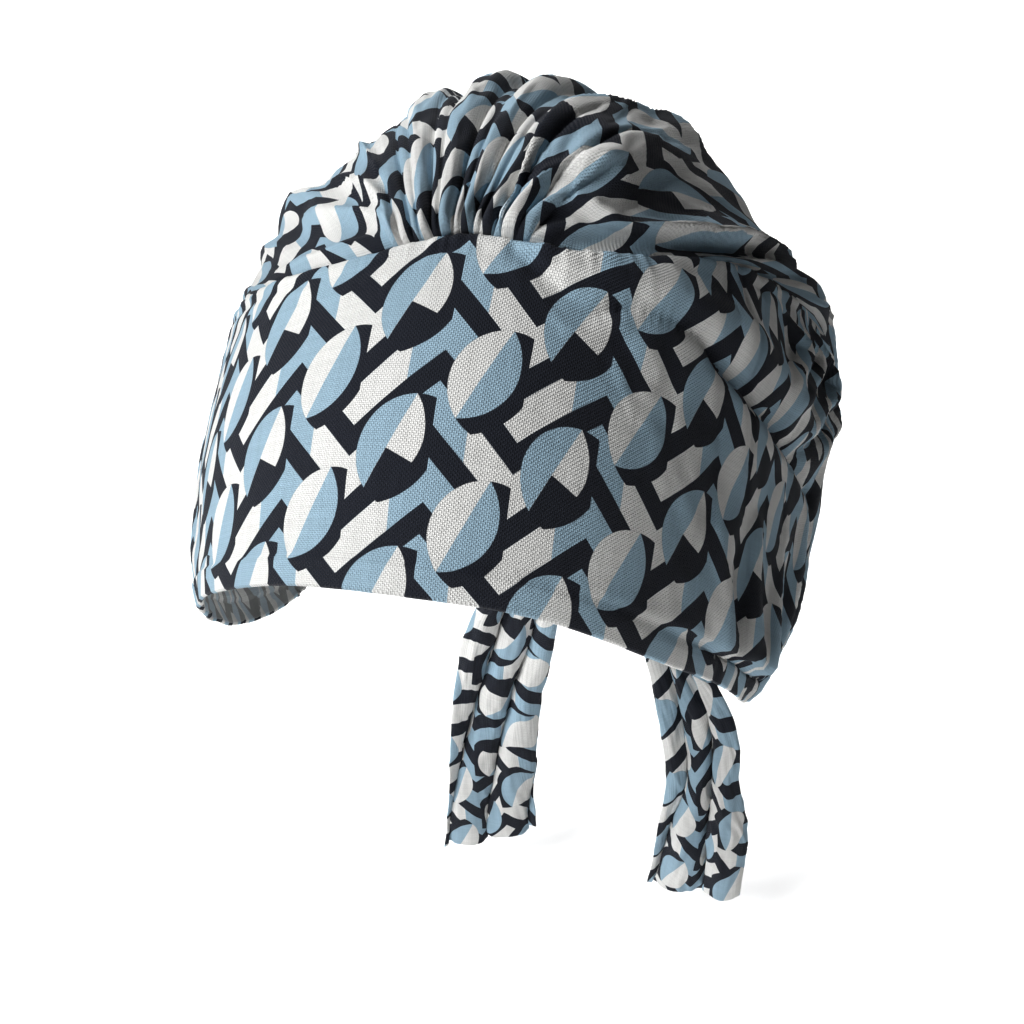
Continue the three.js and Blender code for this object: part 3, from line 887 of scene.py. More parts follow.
def ear_tucks(across, along):
    """How high the tucks by the ears stand: round tubes with sharp valleys between."""
    closer = 1 + EAR_TUCKS["closer_at_rim"] * (1 - along)
    first = np.where(across > 0.5, EAR_TUCKS["starts"], 1 - EAR_TUCKS["starts"])
    place = (across - first) * closer
    tube = np.abs(bumps(EAR_TUCKS, place, along)) ** EAR_TUCKS["roundness"]
    height = np.where(across > 0.5, EAR_TUCKS["height"], EAR_TUCKS["right_height"])
    sewn_end = smooth(0.5 - np.abs(across - 0.5), 0, EAR_TUCKS["sewn_end"])
    return height * tube * taken_in(across, along) * sewn_end


def band_ripples(across, along):
    """The band's slight unevenness: nearly taut at the brow, slacker by the ears."""
    slack = BAND_RIPPLES["brow"] + aside(across, *BAND_RIPPLES["starts_to_full"])
    broad = bumps(BROAD_RIPPLES, across, along) * BAND_RIPPLES["height"]
    slanted = bumps(FINE_RIPPLES, across, along, along * FINE_RIPPLES["slant"])
    fine = (0.5 - np.abs(slanted)) * BAND_RIPPLES["height"]
    return slack * (broad + fine) * np.sin(np.pi * np.clip(along, 0, 1)) ** 0.5


def seam_lip(across, below_seam):
    """How high the rolled lip stands at the band's sewn edge, and how deep the groove under it."""
    uneven = LIP["mean"]
    for change in LIP_CHANGES:
        uneven = uneven + change["share"] * bumps(change, across, below_seam)
    lip = LIP["height"] * np.exp(-(((below_seam - LIP["below"]) / LIP["width"]) ** 2))
    groove = LIP["groove"] * np.exp(-(((below_seam - LIP["groove_below"]) / LIP["width"]) ** 2))
    return (lip - groove) * uneven


def seam_puckers(across, along, below_seam):
    """How high the small puckers along the seam stand."""
    fades = np.exp(-below_seam / PUCKERS["reach"])
    return PUCKERS["height"] * (0.5 - np.abs(bumps(PUCKERS, across, along))) * fades


def brow_band(settings):
    """The wide doubled band, from ear to ear over the brow."""
    across, along = grid((0, 1, 421), (0, 1, 91))
    form = band_form(across, along)
    half_way_up = 0.5
    flat_across = flat_run(form, 1 + EAR_TUCKS["taken_in"] * taken_in(across, half_way_up))
    above_rim = run_length(form, 1)
    cloth = np.stack([flat_across, above_rim], -1)
    folded = add_folds(form, BAND_FOLDS, BAND_SIZE, across, along)
    below_seam = above_rim[:, -1:] - above_rim
    points = form + (folded - form) * smooth(below_seam, 0, SEAM_HOLDS)[..., None]
    hem = HEM["step"] * (1 - smooth(along, HEM["height"], HEM["gone"]))
    height = hem + seam_lip(across, below_seam) + seam_puckers(across, along, below_seam)
    height += band_ripples(across, along)
    height += ear_tucks(across, along)
    points += height[..., None] * outward(points)
    held = 1 - smooth(below_seam, *BAND_SEWN["seam"]) * smooth(along, *BAND_SEWN["rim"])
    held[0] = held[-1] = 1
    by_ears = BAND_SLACK["by_ears"] * aside(across, *BAND_SLACK["starts_to_full"])
    points = settled(points, held, BAND_SLACK["least"] + by_ears)
    thickness = settings.band_thickness / MM
    points = keep_off_head(points, LEAST_LIFT + thickness)
    piece = cloth_piece("brow_band_cloth", points, thickness, cloth, settings)
    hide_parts("brow_band")


# ---- Crown -------------------------------------------------------------------------------

# How far the crown stands off the head at these shares of the way from the seam to the nape.
CROWN_STATIONS = (0, 0.15, 0.4, 0.72, 1)  # seam, front, top, back, nape
CROWN_LIFT = Table(
    "at front top back nape",
    [
        (0.0, 3, 3, 3, 2),
        (0.12, 2.5, 3, 8, 2.4),
        (0.25, 2, 2.6, 14, 2.6),
        (0.35, 1.6, 2, 18, 2.8),
        (0.5, 2.6, 5, 20, 2.8),
        (0.62, 4, 7, 22, 2.8),
        (0.75, 6, 8, 22, 2.6),
        (0.88, 13.5, 17, 18, 2.4),
        (1.0, 6, 6, 5, 2),
    ],
)
# Where each place across the crown's cloth is sewn along the band.
GATHER = {"cloth": (0, 0.3, 0.36, 0.64, 0.7, 1), "seam": (0, 0.37, 0.41, 0.568, 0.61, 1)}
SEAM_TURN = 0.05  # how far behind the seam the crown starts, in degrees
CROWN_SIZE = (700.0, 230.0)  # rough, to place the folds by
CROWN_FOLDS = (
    # The left drape: the crisp ridge that climbs from the gather, leans over the pleats and turns
    # along the top.
    Fold([(0.578, 0.03, 2), (0.577, 0.09, 6), (0.58, 0.137, 7.2), (0.593, 0.184, 7.8),
          (0.605, 0.211, 7.8), (0.614, 0.247, 7.2), (0.624, 0.281, 6.8), (0.638, 0.296, 5),
          (0.66, 0.306, 3), (0.69, 0.315, 1.6)], near=3.6, far=26, sharp=1.2, lean=-2),
    # The taut cloth between that ridge and the drape's lower edge.
    Fold([(0.61, 0.06, 2), (0.64, 0.1, 5), (0.665, 0.14, 5), (0.68, 0.165, 2.2)], near=28, far=25),
    # The drape's lower edge, folded over the strip beside the seam.
    Fold([(0.655, 0.05, 2), (0.685, 0.048, 4.6), (0.709, 0.05, 6.4), (0.733, 0.06, 7.6),
          (0.744, 0.095, 7.6), (0.753, 0.135, 7.2), (0.758, 0.2, 5.6), (0.765, 0.3, 3.4),
          (0.775, 0.42, 1.4)], near=24, far=3, sharp=1.3, lean=2.2),
    # Thin pleats that fan out low over the seam, under the drape.
    Fold([(0.6, 0.004, 0.6), (0.625, 0.03, 2.2), (0.66, 0.048, 2.2), (0.7, 0.055, 1)],
         near=2.2, far=2.2, sharp=1.6),
    Fold([(0.632, 0.002, 0.5), (0.66, 0.02, 1.8), (0.695, 0.03, 1.8), (0.735, 0.034, 0.8)],
         near=1.8, far=1.8, sharp=1.6),
    Fold([(0.59, 0.03, 1), (0.612, 0.065, 2.6), (0.64, 0.09, 2.4), (0.665, 0.1, 1)],
         near=3, far=3, sharp=1.6),
    # A fold across the drape.
    Fold([(0.62, 0.1, 1), (0.645, 0.17, 1.6), (0.66, 0.24, 0.4)], near=6, far=8, sharp=1.6),
    # The pouch over the seam on the left side.
    Fold([(0.785, 0.04, 1.2), (0.8, 0.12, 2.4), (0.83, 0.26, 2.6)], near=6, far=11),
    # The puff at the very top of the gather, and the dips on its right.
    Fold([(0.48, 0.2, 0.4), (0.48, 0.29, 0.8), (0.48, 0.38, 0.4)], near=11, far=13, sharp=1.8),
    Fold([(0.424, 0.14, 0), (0.424, 0.22, -0.8), (0.424, 0.32, -0.6)], near=9, far=5, sharp=1.5),
    Fold([(0.45, 0.14, -0.5), (0.448, 0.24, -3.8), (0.447, 0.34, -2.8)], near=4, far=4, sharp=1.6),
    # The dip on the puff's left.
    Fold([(0.503, 0.14, -0.6), (0.502, 0.25, -2.6), (0.504, 0.34, -1.8)],
         near=4, far=4, sharp=1.6),
    # The corner of the right side, a low fold on its right and a dip on its left.
    Fold([(0.302, 0.06, 0.4), (0.298, 0.16, 2.6), (0.291, 0.25, 4.6), (0.28, 0.4, 2)],
         near=16, far=6, sharp=1.6),
    Fold([(0.27, 0.05, 0.6), (0.262, 0.14, 1.8), (0.25, 0.22, 1.8), (0.24, 0.3, 0.6)],
         near=7, far=6),
    Fold([(0.33, 0.1, -1), (0.315, 0.22, -1.6), (0.31, 0.32, -1)], near=8, far=8),
    # The rolled strip that comes down to the seam at the gather's right end.
    Fold([(0.29, 0.12, 1.2), (0.32, 0.075, 3.2), (0.343, 0.045, 3.6), (0.362, 0.02, 2.2)],
         near=3.4, far=3.4, sharp=1.6),
    Fold([(0.315, 0.2, 1.2), (0.335, 0.13, 3.2), (0.352, 0.075, 3.6), (0.366, 0.03, 2.2)],
         near=4, far=3, sharp=1.5),
    Fold([(0.345, 0.26, 1.4), (0.355, 0.18, 3.2), (0.366, 0.1, 3)], near=4, far=3, sharp=1.5),
    Fold([(0.25, 0.035, 0.5), (0.29, 0.022, 1.8), (0.33, 0.016, 1.8), (0.36, 0.012, 0.8)],
         near=2.4, far=2.4, sharp=1.6),
    # The right side's long soft folds.
    Fold([(0.22, 0.04, 0.4), (0.2, 0.2, 1.6), (0.19, 0.45, 1.6)], near=9, far=6, sharp=1.6),
    Fold([(0.13, 0.05, 0.5), (0.12, 0.25, 1.8), (0.125, 0.5, 1.5)], near=7, far=6, sharp=1.6),
    # The whorl of twisted folds over the left ear.
    Fold([(0.86, 0.06, 1), (0.87, 0.16, 2.4), (0.9, 0.3, 2.6), (0.91, 0.45, 1)], near=5, far=7),
    Fold([(0.9, 0.04, 1), (0.915, 0.12, 2.4), (0.945, 0.24, 2)], near=4, far=5, sharp=1.5),
    Fold([(0.885, 0.08, -1), (0.905, 0.18, -1.8), (0.93, 0.3, -1)], near=3, far=3, sharp=1.4),
    Fold([(0.94, 0.05, 1.2), (0.955, 0.14, 1.8), (0.97, 0.25, 1)], near=3.5, far=4, sharp=1.5),
    # Long soft folds down the back.
    Fold([(0.3, 0.45, 2.5), (0.29, 0.7, 4), (0.27, 0.92, 3)], near=16, far=12, sharp=1.7),
    Fold([(0.4, 0.5, 2.5), (0.38, 0.72, 3.6), (0.35, 0.92, 3)], near=10, far=14, sharp=1.7),
    Fold([(0.47, 0.45, 2), (0.46, 0.7, 3.6), (0.45, 0.92, 3)], near=14, far=10, sharp=1.7),
    Fold([(0.58, 0.48, 3), (0.59, 0.72, 4.4), (0.58, 0.92, 3)], near=12, far=16, sharp=1.7),
    Fold([(0.67, 0.45, 2), (0.69, 0.7, 3.6), (0.67, 0.92, 3)], near=12, far=12, sharp=1.7),
    Fold([(0.76, 0.42, 2.4), (0.78, 0.66, 4), (0.76, 0.9, 3)], near=12, far=14, sharp=1.7),
)
# Each pleat of the gather: its middle at the seam and where it ends, how far up it ends, its
# height at the seam, and half its width at the seam and at its end, as shares of the cloth.
PLEATS = Table(
    "across to_across ends height half to_half",
    [
        (0.364, 0.344, 0.26, 2.6, 0.010, 0.016),
        (0.382, 0.368, 0.34, 3.8, 0.012, 0.018),
        (0.401, 0.396, 0.30, 3.6, 0.009, 0.010),
        (0.419, 0.416, 0.52, 5.4, 0.013, 0.026),
        (0.440, 0.446, 0.34, 3.8, 0.010, 0.012),
        (0.462, 0.474, 0.54, 5.8, 0.016, 0.032),
        (0.487, 0.501, 0.30, 3.8, 0.010, 0.012),
        (0.507, 0.528, 0.48, 5.6, 0.014, 0.026),
        (0.529, 0.549, 0.30, 4.0, 0.009, 0.012),
        (0.549, 0.572, 0.38, 5.2, 0.014, 0.024),
        (0.573, 0.594, 0.24, 3.6, 0.009, 0.013),
        (0.594, 0.624, 0.24, 4.0, 0.013, 0.022),
        (0.618, 0.652, 0.18, 2.8, 0.011, 0.018),
    ],
)
PLEATS_FADE = 0.32  # the share of its length at which a pleat starts to flatten
# How much longer the crown's cloth is than its place: everywhere, and more above the gather.
CROWN_SLACK = {"least": 0.03, "gather": 0.01, "full_to_gone": (0.47, 0.12, 0.22)}
# The crown is held near its seams: fully up to 1 mm from the front one and from 9 mm not at all,
# and at the nape by its share of the way back.
CROWN_SEWN = {"seam": (1.0, 9.0), "nape": (0.93, 0.99)}
# How the cloth rolls down into the front seam, in millimetres.
SEAM_ROLL = {"width": 2.6, "depth": 1.0}
# The cloth is laid out flat as it is at the top, and crowds towards the seam. Beside the gather
# it is spared a share of the crowding.
CROWN_EASE = {"top": 0.35, "share": 0.5, "starts_to_full": (0.49, 0.15, 0.24)}
# The crown's grid has closer columns at the gather, each stretch with a start, an end and how
# many, and closer rows towards the seam.
CROWN_COLUMNS = ((0, 0.35, 79), (0.35, 0.65, 189), (0.65, 1, 80))
CROWN_ROWS = {"count": 141, "closer": 1.3}
# The tucks at the nape deepen from one share of the way back to another.
NAPE_TUCKS = {"count": 13, "height": 2.4, "from": 0.74, "to": 0.95}


def behind_seam(place):
    """Directions just behind the seam, clear of the band's edge."""
    here, before, after = (SEAM.read(place + step) for step in (0, -0.01, 0.01))
    middle = direction(here["lon"], here["lat"])
    run = direction(after["lon"], after["lat"]) - direction(before["lon"], before["lat"])
    return unit(middle + unit(np.cross(middle, run)) * math.radians(SEAM_TURN))


def crown_form(across, along):
    """The smooth outside of the crown."""
    sewn = np.interp(across, GATHER["cloth"], GATHER["seam"])
    nape = NAPE.read(across)
    table = CROWN_LIFT.read(across)
    lifts = [SEAM.read(sewn)["lift"], table["front"], table["top"], table["back"], table["nape"]]
    lift = lifts[0]
    for i, (start, end) in enumerate(zip(CROWN_STATIONS, CROWN_STATIONS[1:])):
        lift = lift + (lifts[i + 1] - lifts[i]) * smooth(along, start, end)
    return on_head(between(behind_seam(sewn), direction(nape["lon"], nape["lat"]), along), lift)


def pleats(across, along):
    """How high the gather's pleats stand: tubes side by side, with sharp valleys between."""
    height = np.zeros_like(across)
    for pleat in PLEATS.rows():
        share = np.clip(along / pleat["ends"], 0, 1)
        middle = pleat["across"] + (pleat["to_across"] - pleat["across"]) * share
        half = pleat["half"] + (pleat["to_half"] - pleat["half"]) * share
        tube = np.sqrt(np.clip(1 - ((across - middle) / half) ** 2, 0, 1))
        height = np.maximum(height, pleat["height"] * tube * (1 - smooth(share, PLEATS_FADE, 1)))
    return height


def nape_tucks(across, along):
    """How high the soft tucks stand that draw the crown in at the nape."""
    tuck = 0.5 - 0.5 * np.cos(2 * np.pi * NAPE_TUCKS["count"] * across)
    return NAPE_TUCKS["height"] * tuck * smooth(along, NAPE_TUCKS["from"], NAPE_TUCKS["to"])


def seam_roll(distance):
    """How fully the cloth has risen, this far from the seam that it rolls down into."""
    t = np.clip(distance / SEAM_ROLL["width"], 0, 1)
    return np.sqrt(1 - (1 - t) ** 2)


# Small slack creases that run with the gather, broad ones and fine ones. They wander sideways by a
# share of their spacing, and fade towards the seams.
RIPPLES = (
    {"seed": 3, "across": 14.0, "along": 2.2, "height": 2.0},
    {"seed": 4, "across": 34.0, "along": 4.0, "height": 0.7},
)
RIPPLES_WANDER = {"seed": 40, "by": 0.6, "across": 5, "along": 4}
RIPPLES_SPREAD = {"from": (0.0, 0.12), "to": (0.9, 1.0)}


def crown_ripples(across, along):
    """The height of the small creases: sharp crests with soft hollows between."""
    height = np.zeros_like(across)
    for layer in RIPPLES:
        wander = bumps(RIPPLES_WANDER, across, along, seed=layer["seed"])
        crests = bumps(layer, across, along, RIPPLES_WANDER["by"] * wander)
        height += layer["height"] * (0.5 - np.abs(crests))
    inside = smooth(along, *RIPPLES_SPREAD["from"]) * (1 - smooth(along, *RIPPLES_SPREAD["to"]))
    return height * inside


def crown(settings):
    """The crown's cloth: gathered over the brow, full on top, drawn in at the nape."""
    stretches = [np.linspace(start, end, count, False) for start, end, count in CROWN_COLUMNS]
    columns = np.concatenate([*stretches, [1.0]])
    rows = np.linspace(0, 1, CROWN_ROWS["count"]) ** CROWN_ROWS["closer"]
    across, along = np.meshgrid(columns, rows, indexing="ij")
    form = crown_form(across, along)
    step = np.gradient(run_length(form, 0), axis=0)
    row_of_top = np.searchsorted(rows, CROWN_EASE["top"])
    crowding = step[:, row_of_top : row_of_top + 1] / np.maximum(step, 1e-3)
    spared = CROWN_EASE["share"] * aside(across, *CROWN_EASE["starts_to_full"])
    flat_across = flat_run(form, crowding ** (1 - spared))
    past_seam = run_length(form, 1)
    cloth = np.stack([flat_across, past_seam], -1)
    rolled = seam_roll(past_seam)
    folded = add_folds(form, CROWN_FOLDS, CROWN_SIZE, across, along)
    points = form + (folded - form) * rolled[..., None]
    height = pleats(across, along) * rolled + nape_tucks(across, along)
    height -= SEAM_ROLL["depth"] * (1 - rolled)
    height += crown_ripples(across, along)
    points += height[..., None] * outward(form)
    freed = smooth(past_seam, *CROWN_SEWN["seam"])
    held = 1 - freed * (1 - smooth(along, *CROWN_SEWN["nape"]))
    held[0] = held[-1] = 1
    gathered = 1 - aside(across, *CROWN_SLACK["full_to_gone"])
    slack = CROWN_SLACK["least"] + CROWN_SLACK["gather"] * gathered * (1 - along)
    points = settled(points, held, slack)
    thickness = settings.cloth_thickness / MM
    points = keep_off_head(points, LEAST_LIFT + thickness)
    piece = cloth_piece("crown_cloth", points, thickness, cloth, settings)
    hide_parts("crown")


# ---- Casing round the nape ---------------------------------------------------------------

# Lengths in millimetres, drops and the reach up to the band in degrees, the rest in shares.
CASING = {
    "drop": 8.0,
    "deeper": 3.0,
    "deeper_from": 0.42,
    "rounding": (0.02, 0.98),
    "edge": 0.55,
    "thickness": 2.0,
    "ruffles": 34,
    "ruffle_height": 1.3,
    "least_ruffle": 0.35,
    "waver": 0.9,
    "sag": 0.8,
    "joined": 0.42,
    "fullness": 1.6,
}
UNEVEN_CASING = {"seed": 11, "across": 9, "along": 1.2}


def nape_casing(settings):
    """The casing gathered on its elastic, from one end of the band to the other."""
    first, last = NAPE.values[0, 0], NAPE.values[-1, 0]
    across, along = grid((first, last, 420), (0, 1, 22))
    nape = NAPE.read(across)
    uneven = bumps(UNEVEN_CASING, across, along)
    ruffle = np.abs(np.sin(np.pi * (CASING["ruffles"] * across / 2 + CASING["waver"] * uneven)))
    roll = np.sqrt(np.sin(np.pi * np.clip(along, *CASING["rounding"])))
    ruffle *= CASING["least_ruffle"] + (1 - CASING["least_ruffle"]) * roll
    roll = CASING["edge"] + (1 - CASING["edge"]) * roll
    lift = LEAST_LIFT + CASING["thickness"] * roll + CASING["ruffle_height"] * ruffle
    ends = aside(across, 0.5, CASING["deeper_from"], last - 0.5)
    drop = CASING["drop"] + CASING["deeper"] * ends + CASING["sag"] * uneven * along
    below = nape["lat"] - SEAM_TURN - along * drop
    under_band = aside(across, 0.5, 0.5, last - 0.5)
    up_to_band = CASING["joined"] * np.sign(0.5 - across) * under_band
    points = on_head(direction(nape["lon"] + up_to_band, below), lift)
    under = on_head(direction(nape["lon"], nape["lat"]), np.zeros_like(lift))
    flat_across = run_length(under, 0) * CASING["fullness"]
    cloth = np.stack([flat_across, run_length(points, 1)], -1)
    thickness = settings.casing_thickness / MM
    points = keep_off_head(points, LEAST_LIFT + thickness)
    piece = cloth_piece("nape_casing_cloth", points, thickness, cloth, settings)
    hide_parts("nape_casing")


# ---- Knot and tails ----------------------------------------------------------------------

# Lengths in millimetres. The strip closes this share of the way to the knot's two ends, and the
# knot sits a little off the middle of its place, where it has been pulled tight.
KNOT = {
    "width": 31.0,
    "depth": 18.0,
    "height": 25.0,
    "lean": 0.42,
    "turns": 1.16,
    "closed": 0.47,
    "squareness": 0.62,
    "twist": 1.2,
    "twist_starts": 0.6,
    "tightened": (0.0, -1.6, 1.0),
    "fullness": 1.4,
}
KNOT_PLEATS = {"count": 5, "height": 1.3, "slant": 0.22, "waver": 0.35, "middle": 0.8, "layer": 0.9}
UNEVEN_KNOT = {"seed": 5, "across": 7, "along": 1.5}


def tie_knot(settings):
    """The knot: a strip of pleated cloth wrapped once round the tails' throats."""
    low, high = (np.array(corner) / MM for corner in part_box("tie_knot"))
    centre = (low + high) / 2
    round_knot, up = grid((0, 1, 180), (-1, 1, 90))
    turn = 2 * np.pi * KNOT["turns"] * round_knot
    rise = up * KNOT["closed"] * np.pi
    level = np.cos(rise) ** KNOT["squareness"]
    wave = KNOT_PLEATS["count"] * up / 2 + KNOT_PLEATS["slant"] * np.sin(turn)
    wave += KNOT_PLEATS["waver"] * bumps(UNEVEN_KNOT, round_knot, up)
    pleat = np.abs(np.sin(np.pi * wave)) - KNOT_PLEATS["middle"]
    layer = KNOT_PLEATS["layer"] * (round_knot * KNOT["turns"] - 0.5)
    swell = layer + KNOT_PLEATS["height"] * pleat
    x = (KNOT["width"] / 2 + swell) * level * np.cos(turn)
    y = (KNOT["depth"] / 2 + swell) * level * np.sin(turn)
    z = (KNOT["height"] / 2) * np.sin(rise) + KNOT["twist"] * np.sin(turn + KNOT["twist_starts"])
    points = np.stack([x, y + KNOT["lean"] * z, z], -1) + centre + KNOT["tightened"]
    girth = run_length(points, 0)[:, up.shape[1] // 2, None] * np.ones_like(up)
    cloth = np.stack([girth, run_length(points, 1) * KNOT["fullness"]], -1)
    thickness = settings.cloth_thickness / MM
    piece = cloth_piece("tie_knot_cloth", points, thickness, cloth, settings, doubled=True)
    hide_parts("tie_knot")


# Each tail falls from under the knot. A row gives its middle, its breadth, its thickness and its
# turn about the upright.
TAIL_COLUMNS = "at x y z breadth thick turn"
TAILS = {
    "tie_tail_left": Table(
        TAIL_COLUMNS,
        [
            (-0.07, 5.5, 90, -66, 10, 7, 8),
            (0, 10, 92, -76.8, 13, 9, 12),
            (0.1, 25, 96, -93, 21, 10, 35),
            (0.24, 38, 94, -115, 26, 9, 30),
            (0.41, 50, 88, -142, 29, 10, 18),
            (0.6, 55, 83, -172, 25, 9, 8),
            (0.8, 56, 81, -202, 36, 11, 10),
            (1, 55, 80, -236, 42, 9, 14),
        ],
    ),
    "tie_tail_right": Table(
        TAIL_COLUMNS,
        [
            (-0.07, -5.5, 90, -66, 10, 7, -3),
            (0, -8, 91, -77.5, 13, 9, -5),
            (0.14, -15, 95, -98, 23, 10, -8),
            (0.32, -21, 96, -126, 30, 9, -10),
            (0.52, -26, 94, -158, 32, 9, -14),
            (0.73, -28, 90, -192, 37, 10, -14),
            (1, -28, 88, -236, 44, 9, -12),
        ],
    ),
}
TAIL_PLEATS = {"count": 2.5, "overlap": 0.2, "end_slant": 14.0, "sway": 0.25, "sways": 5}
# How far the pleats waver, and how deep they are and how much that changes over the tail.
PLEAT_WAVER = {"seed": 0, "across": 1.5, "along": 4, "shift": 7, "by": 0.22}
PLEAT_DEPTH = {"seed": 1, "across": 3, "along": 6, "mean": 0.75, "change": 0.35}
FIRST_TAIL_SEED = 21
# How much longer a tail's cloth is than its place, how far down it is fully so, and how far down
# the knot still holds it.
TAIL_SLACK = {"full": 0.03, "full_at": 0.2, "held_to": 0.12}


def tie_tail(name, table, seed, settings):
    """One tail: a strip of cloth in loose upright pleats, cut off at a slant."""
    top = table.values[0, 0]
    over, down = grid((0, 1, 151), (top, 1, 131))
    row = table.read(down)
    waver = PLEAT_WAVER["by"] * bumps(PLEAT_WAVER, over, down, PLEAT_WAVER["shift"], seed)
    phase = TAIL_PLEATS["count"] * over + waver
    phase += TAIL_PLEATS["sway"] * np.sin(TAIL_PLEATS["sways"] * down + seed)
    phase *= 2 * np.pi
    overlap = TAIL_PLEATS["overlap"] / TAIL_PLEATS["count"]
    wide = row["breadth"] * (over - 0.5 + overlap * np.sin(phase))
    change = PLEAT_DEPTH["change"] * bumps(PLEAT_DEPTH, over, down, seed=seed)
    deep = -row["thick"] / 2 * np.cos(phase) * (PLEAT_DEPTH["mean"] + change)
    flat = np.radians(row["turn"])
    end = TAIL_PLEATS["end_slant"] * np.maximum(down, 0) ** 3 * over
    x = row["x"] + wide * np.cos(flat) + deep * np.sin(flat)
    y = row["y"] + deep * np.cos(flat) - wide * np.sin(flat)
    points = np.stack([x, y, row["z"] + end], -1)[::-1]
    held = 1 - smooth(down, 0, TAIL_SLACK["held_to"])
    slack = TAIL_SLACK["full"] * smooth(down, 0, TAIL_SLACK["full_at"])
    points = settled(points, held, slack)
    cut_end = run_length(points, 0)[:, -1:] * np.ones_like(over)
    cloth = np.stack([cut_end, run_length(points, 1)], -1)
    thickness = settings.cloth_thickness / MM
    piece = cloth_piece(name + "_cloth", points, thickness, cloth, settings, doubled=True)
    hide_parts(name)


# ---- Settings ----------------------------------------------------------------------------


LENGTH = {"unit": "LENGTH", "precision": 5}
SHARE = {"max": 1, "subtype": "FACTOR"}
POWER = {"unit": "POWER"}


def number_setting(name, description, default, least=0, **kind):
    """A number that a user can change."""
    return bpy.props.FloatProperty(
        name=name, description=description, default=default, min=least, **kind
    )


def colour_setting(name, description, default):
    """A colour that a user can change."""
    return bpy.props.FloatVectorProperty(
        name=name, description=description, default=default, size=4, subtype="COLOR", min=0, max=1
    )


class TurbanCloth(bpy.types.PropertyGroup):
    """The cloth and its print."""

    band_thickness: number_setting(
        "Band thickness", "Two layers of cloth and the turnings", 0.0013, **LENGTH
    )
    cloth_thickness: number_setting("Cloth thickness", "One layer of cloth", 0.0005, **LENGTH)
    casing_thickness: number_setting(
        "Casing thickness", "Two layers of cloth and an elastic", 0.0014, **LENGTH
    )
    thread_spacing: number_setting(
        "Thread spacing", "From one thread of the weave to the next", 0.00045, **LENGTH
    )
    weave_depth: number_setting("Weave depth", "How far the threads stand out", 0.00015, **LENGTH)
    crumple: number_setting(
        "Crumple depth", "How deep the small soft creases are", 0.0006, **LENGTH
    )
    slub: number_setting("Slub", "How uneven the threads are", 0.35, **SHARE)
    # Thread shade sets how strongly the weave's painted shade darkens the colour between the
    # threads.
    thread_shade: number_setting(
        "Thread shade", "How dark the cloth is between its threads", 0.45, **SHARE
    )
    reverse_fading: number_setting(
        "Reverse fading", "How much paler the print is on the inside", 0.45, **SHARE
    )
    ground: colour_setting("Ground", "The dark ink", (0.011, 0.015, 0.027, 1))
    blue: colour_setting("Blue", "The middle ink", (0.365, 0.505, 0.605, 1))
    light: colour_setting("Light", "The unprinted cloth", (0.80, 0.80, 0.785, 1))


class TurbanStage(bpy.types.PropertyGroup):
    """The floor, the lights, the sky and the view's gamma."""

    floor_colour: colour_setting("Floor", "The pale floor", (0.9, 0.9, 0.9, 1))
    key: number_setting("Key light", "The big light on the wearer's right", 34.0, **POWER)
    back: number_setting("Back light", "The light on the back of the turban", 16.0, **POWER)
    backdrop: number_setting("Backdrop light", "The light on the floor alone", 420.0, **POWER)
    contrast: number_setting("Gamma", "Below 1 deepens the shadows", 0.81, least=0.1)
    sky: number_setting("Sky", "The even light from all round", 0.05)
    seen_sky: number_setting("Seen sky", "How light the sky itself looks", 1.0)


# ---- Stage -------------------------------------------------------------------------------

CAMERA = {
    "turn": 13.0,
    "rise": 37.0,
    "distance": 0.4,
    "aside": 0.0015,
    "above": 0.005,
    "lens": 52.73,
    "sensor": 36.0,
    "nearest": 0.01,
}
# Where each soft square light stands, as a turn, a rise and a distance, and how big it is.
LIGHTS = {
    "key": {"turn": -51, "rise": 40, "distance": 1.6, "size": 0.8},
    "back": {"turn": 190, "rise": 30, "distance": 1.8, "size": 1.2},
    "backdrop": {"turn": 0, "rise": 89, "distance": 6.0, "size": 8.0},
}
WHITE = (1.0, 1.0, 1.0, 1.0)
FLOOR = {"gap": 0.012, "radius": 1.35, "corners": 96, "roughness": 0.9}


def looking_down(turn, rise):
    """The right, up and backward directions of a view, from a turn towards the wearer's left."""
    backward = Vector(direction(turn, rise))
    right = Vector((math.cos(math.radians(turn)), math.sin(math.radians(turn)), 0))
    return right, backward.cross(right), backward


def facing(place, view):
    """The matrix of a thing at a place, turned to a view."""
    return Matrix.Translation(place) @ Matrix(view).transposed().to_4x4()


def make_camera():
    """The camera, above and a little to the wearer's left."""
    right, up, backward = looking_down(CAMERA["turn"], CAMERA["rise"])
    data = bpy.data.cameras.new("camera")
    data.lens = CAMERA["lens"]
    data.sensor_width = CAMERA["sensor"]
    data.clip_start = CAMERA["nearest"]
    camera = added("camera", data)
    place = backward * CAMERA["distance"] + right * CAMERA["aside"] + up * CAMERA["above"]
    camera.matrix_world = facing(place, (right, up, backward))
    bpy.context.scene.camera = camera


def make_light(name, power):
    """A soft square light that faces the middle of the turban."""
    place = LIGHTS[name]
    view = looking_down(place["turn"], place["rise"])
    data = bpy.data.lights.new(name + "_light", "AREA")
    data.energy = power
    data.size = place["size"]
    light = added(name + "_light", data)
    light.matrix_world = facing(view[-1] * place["distance"], view)
    return light


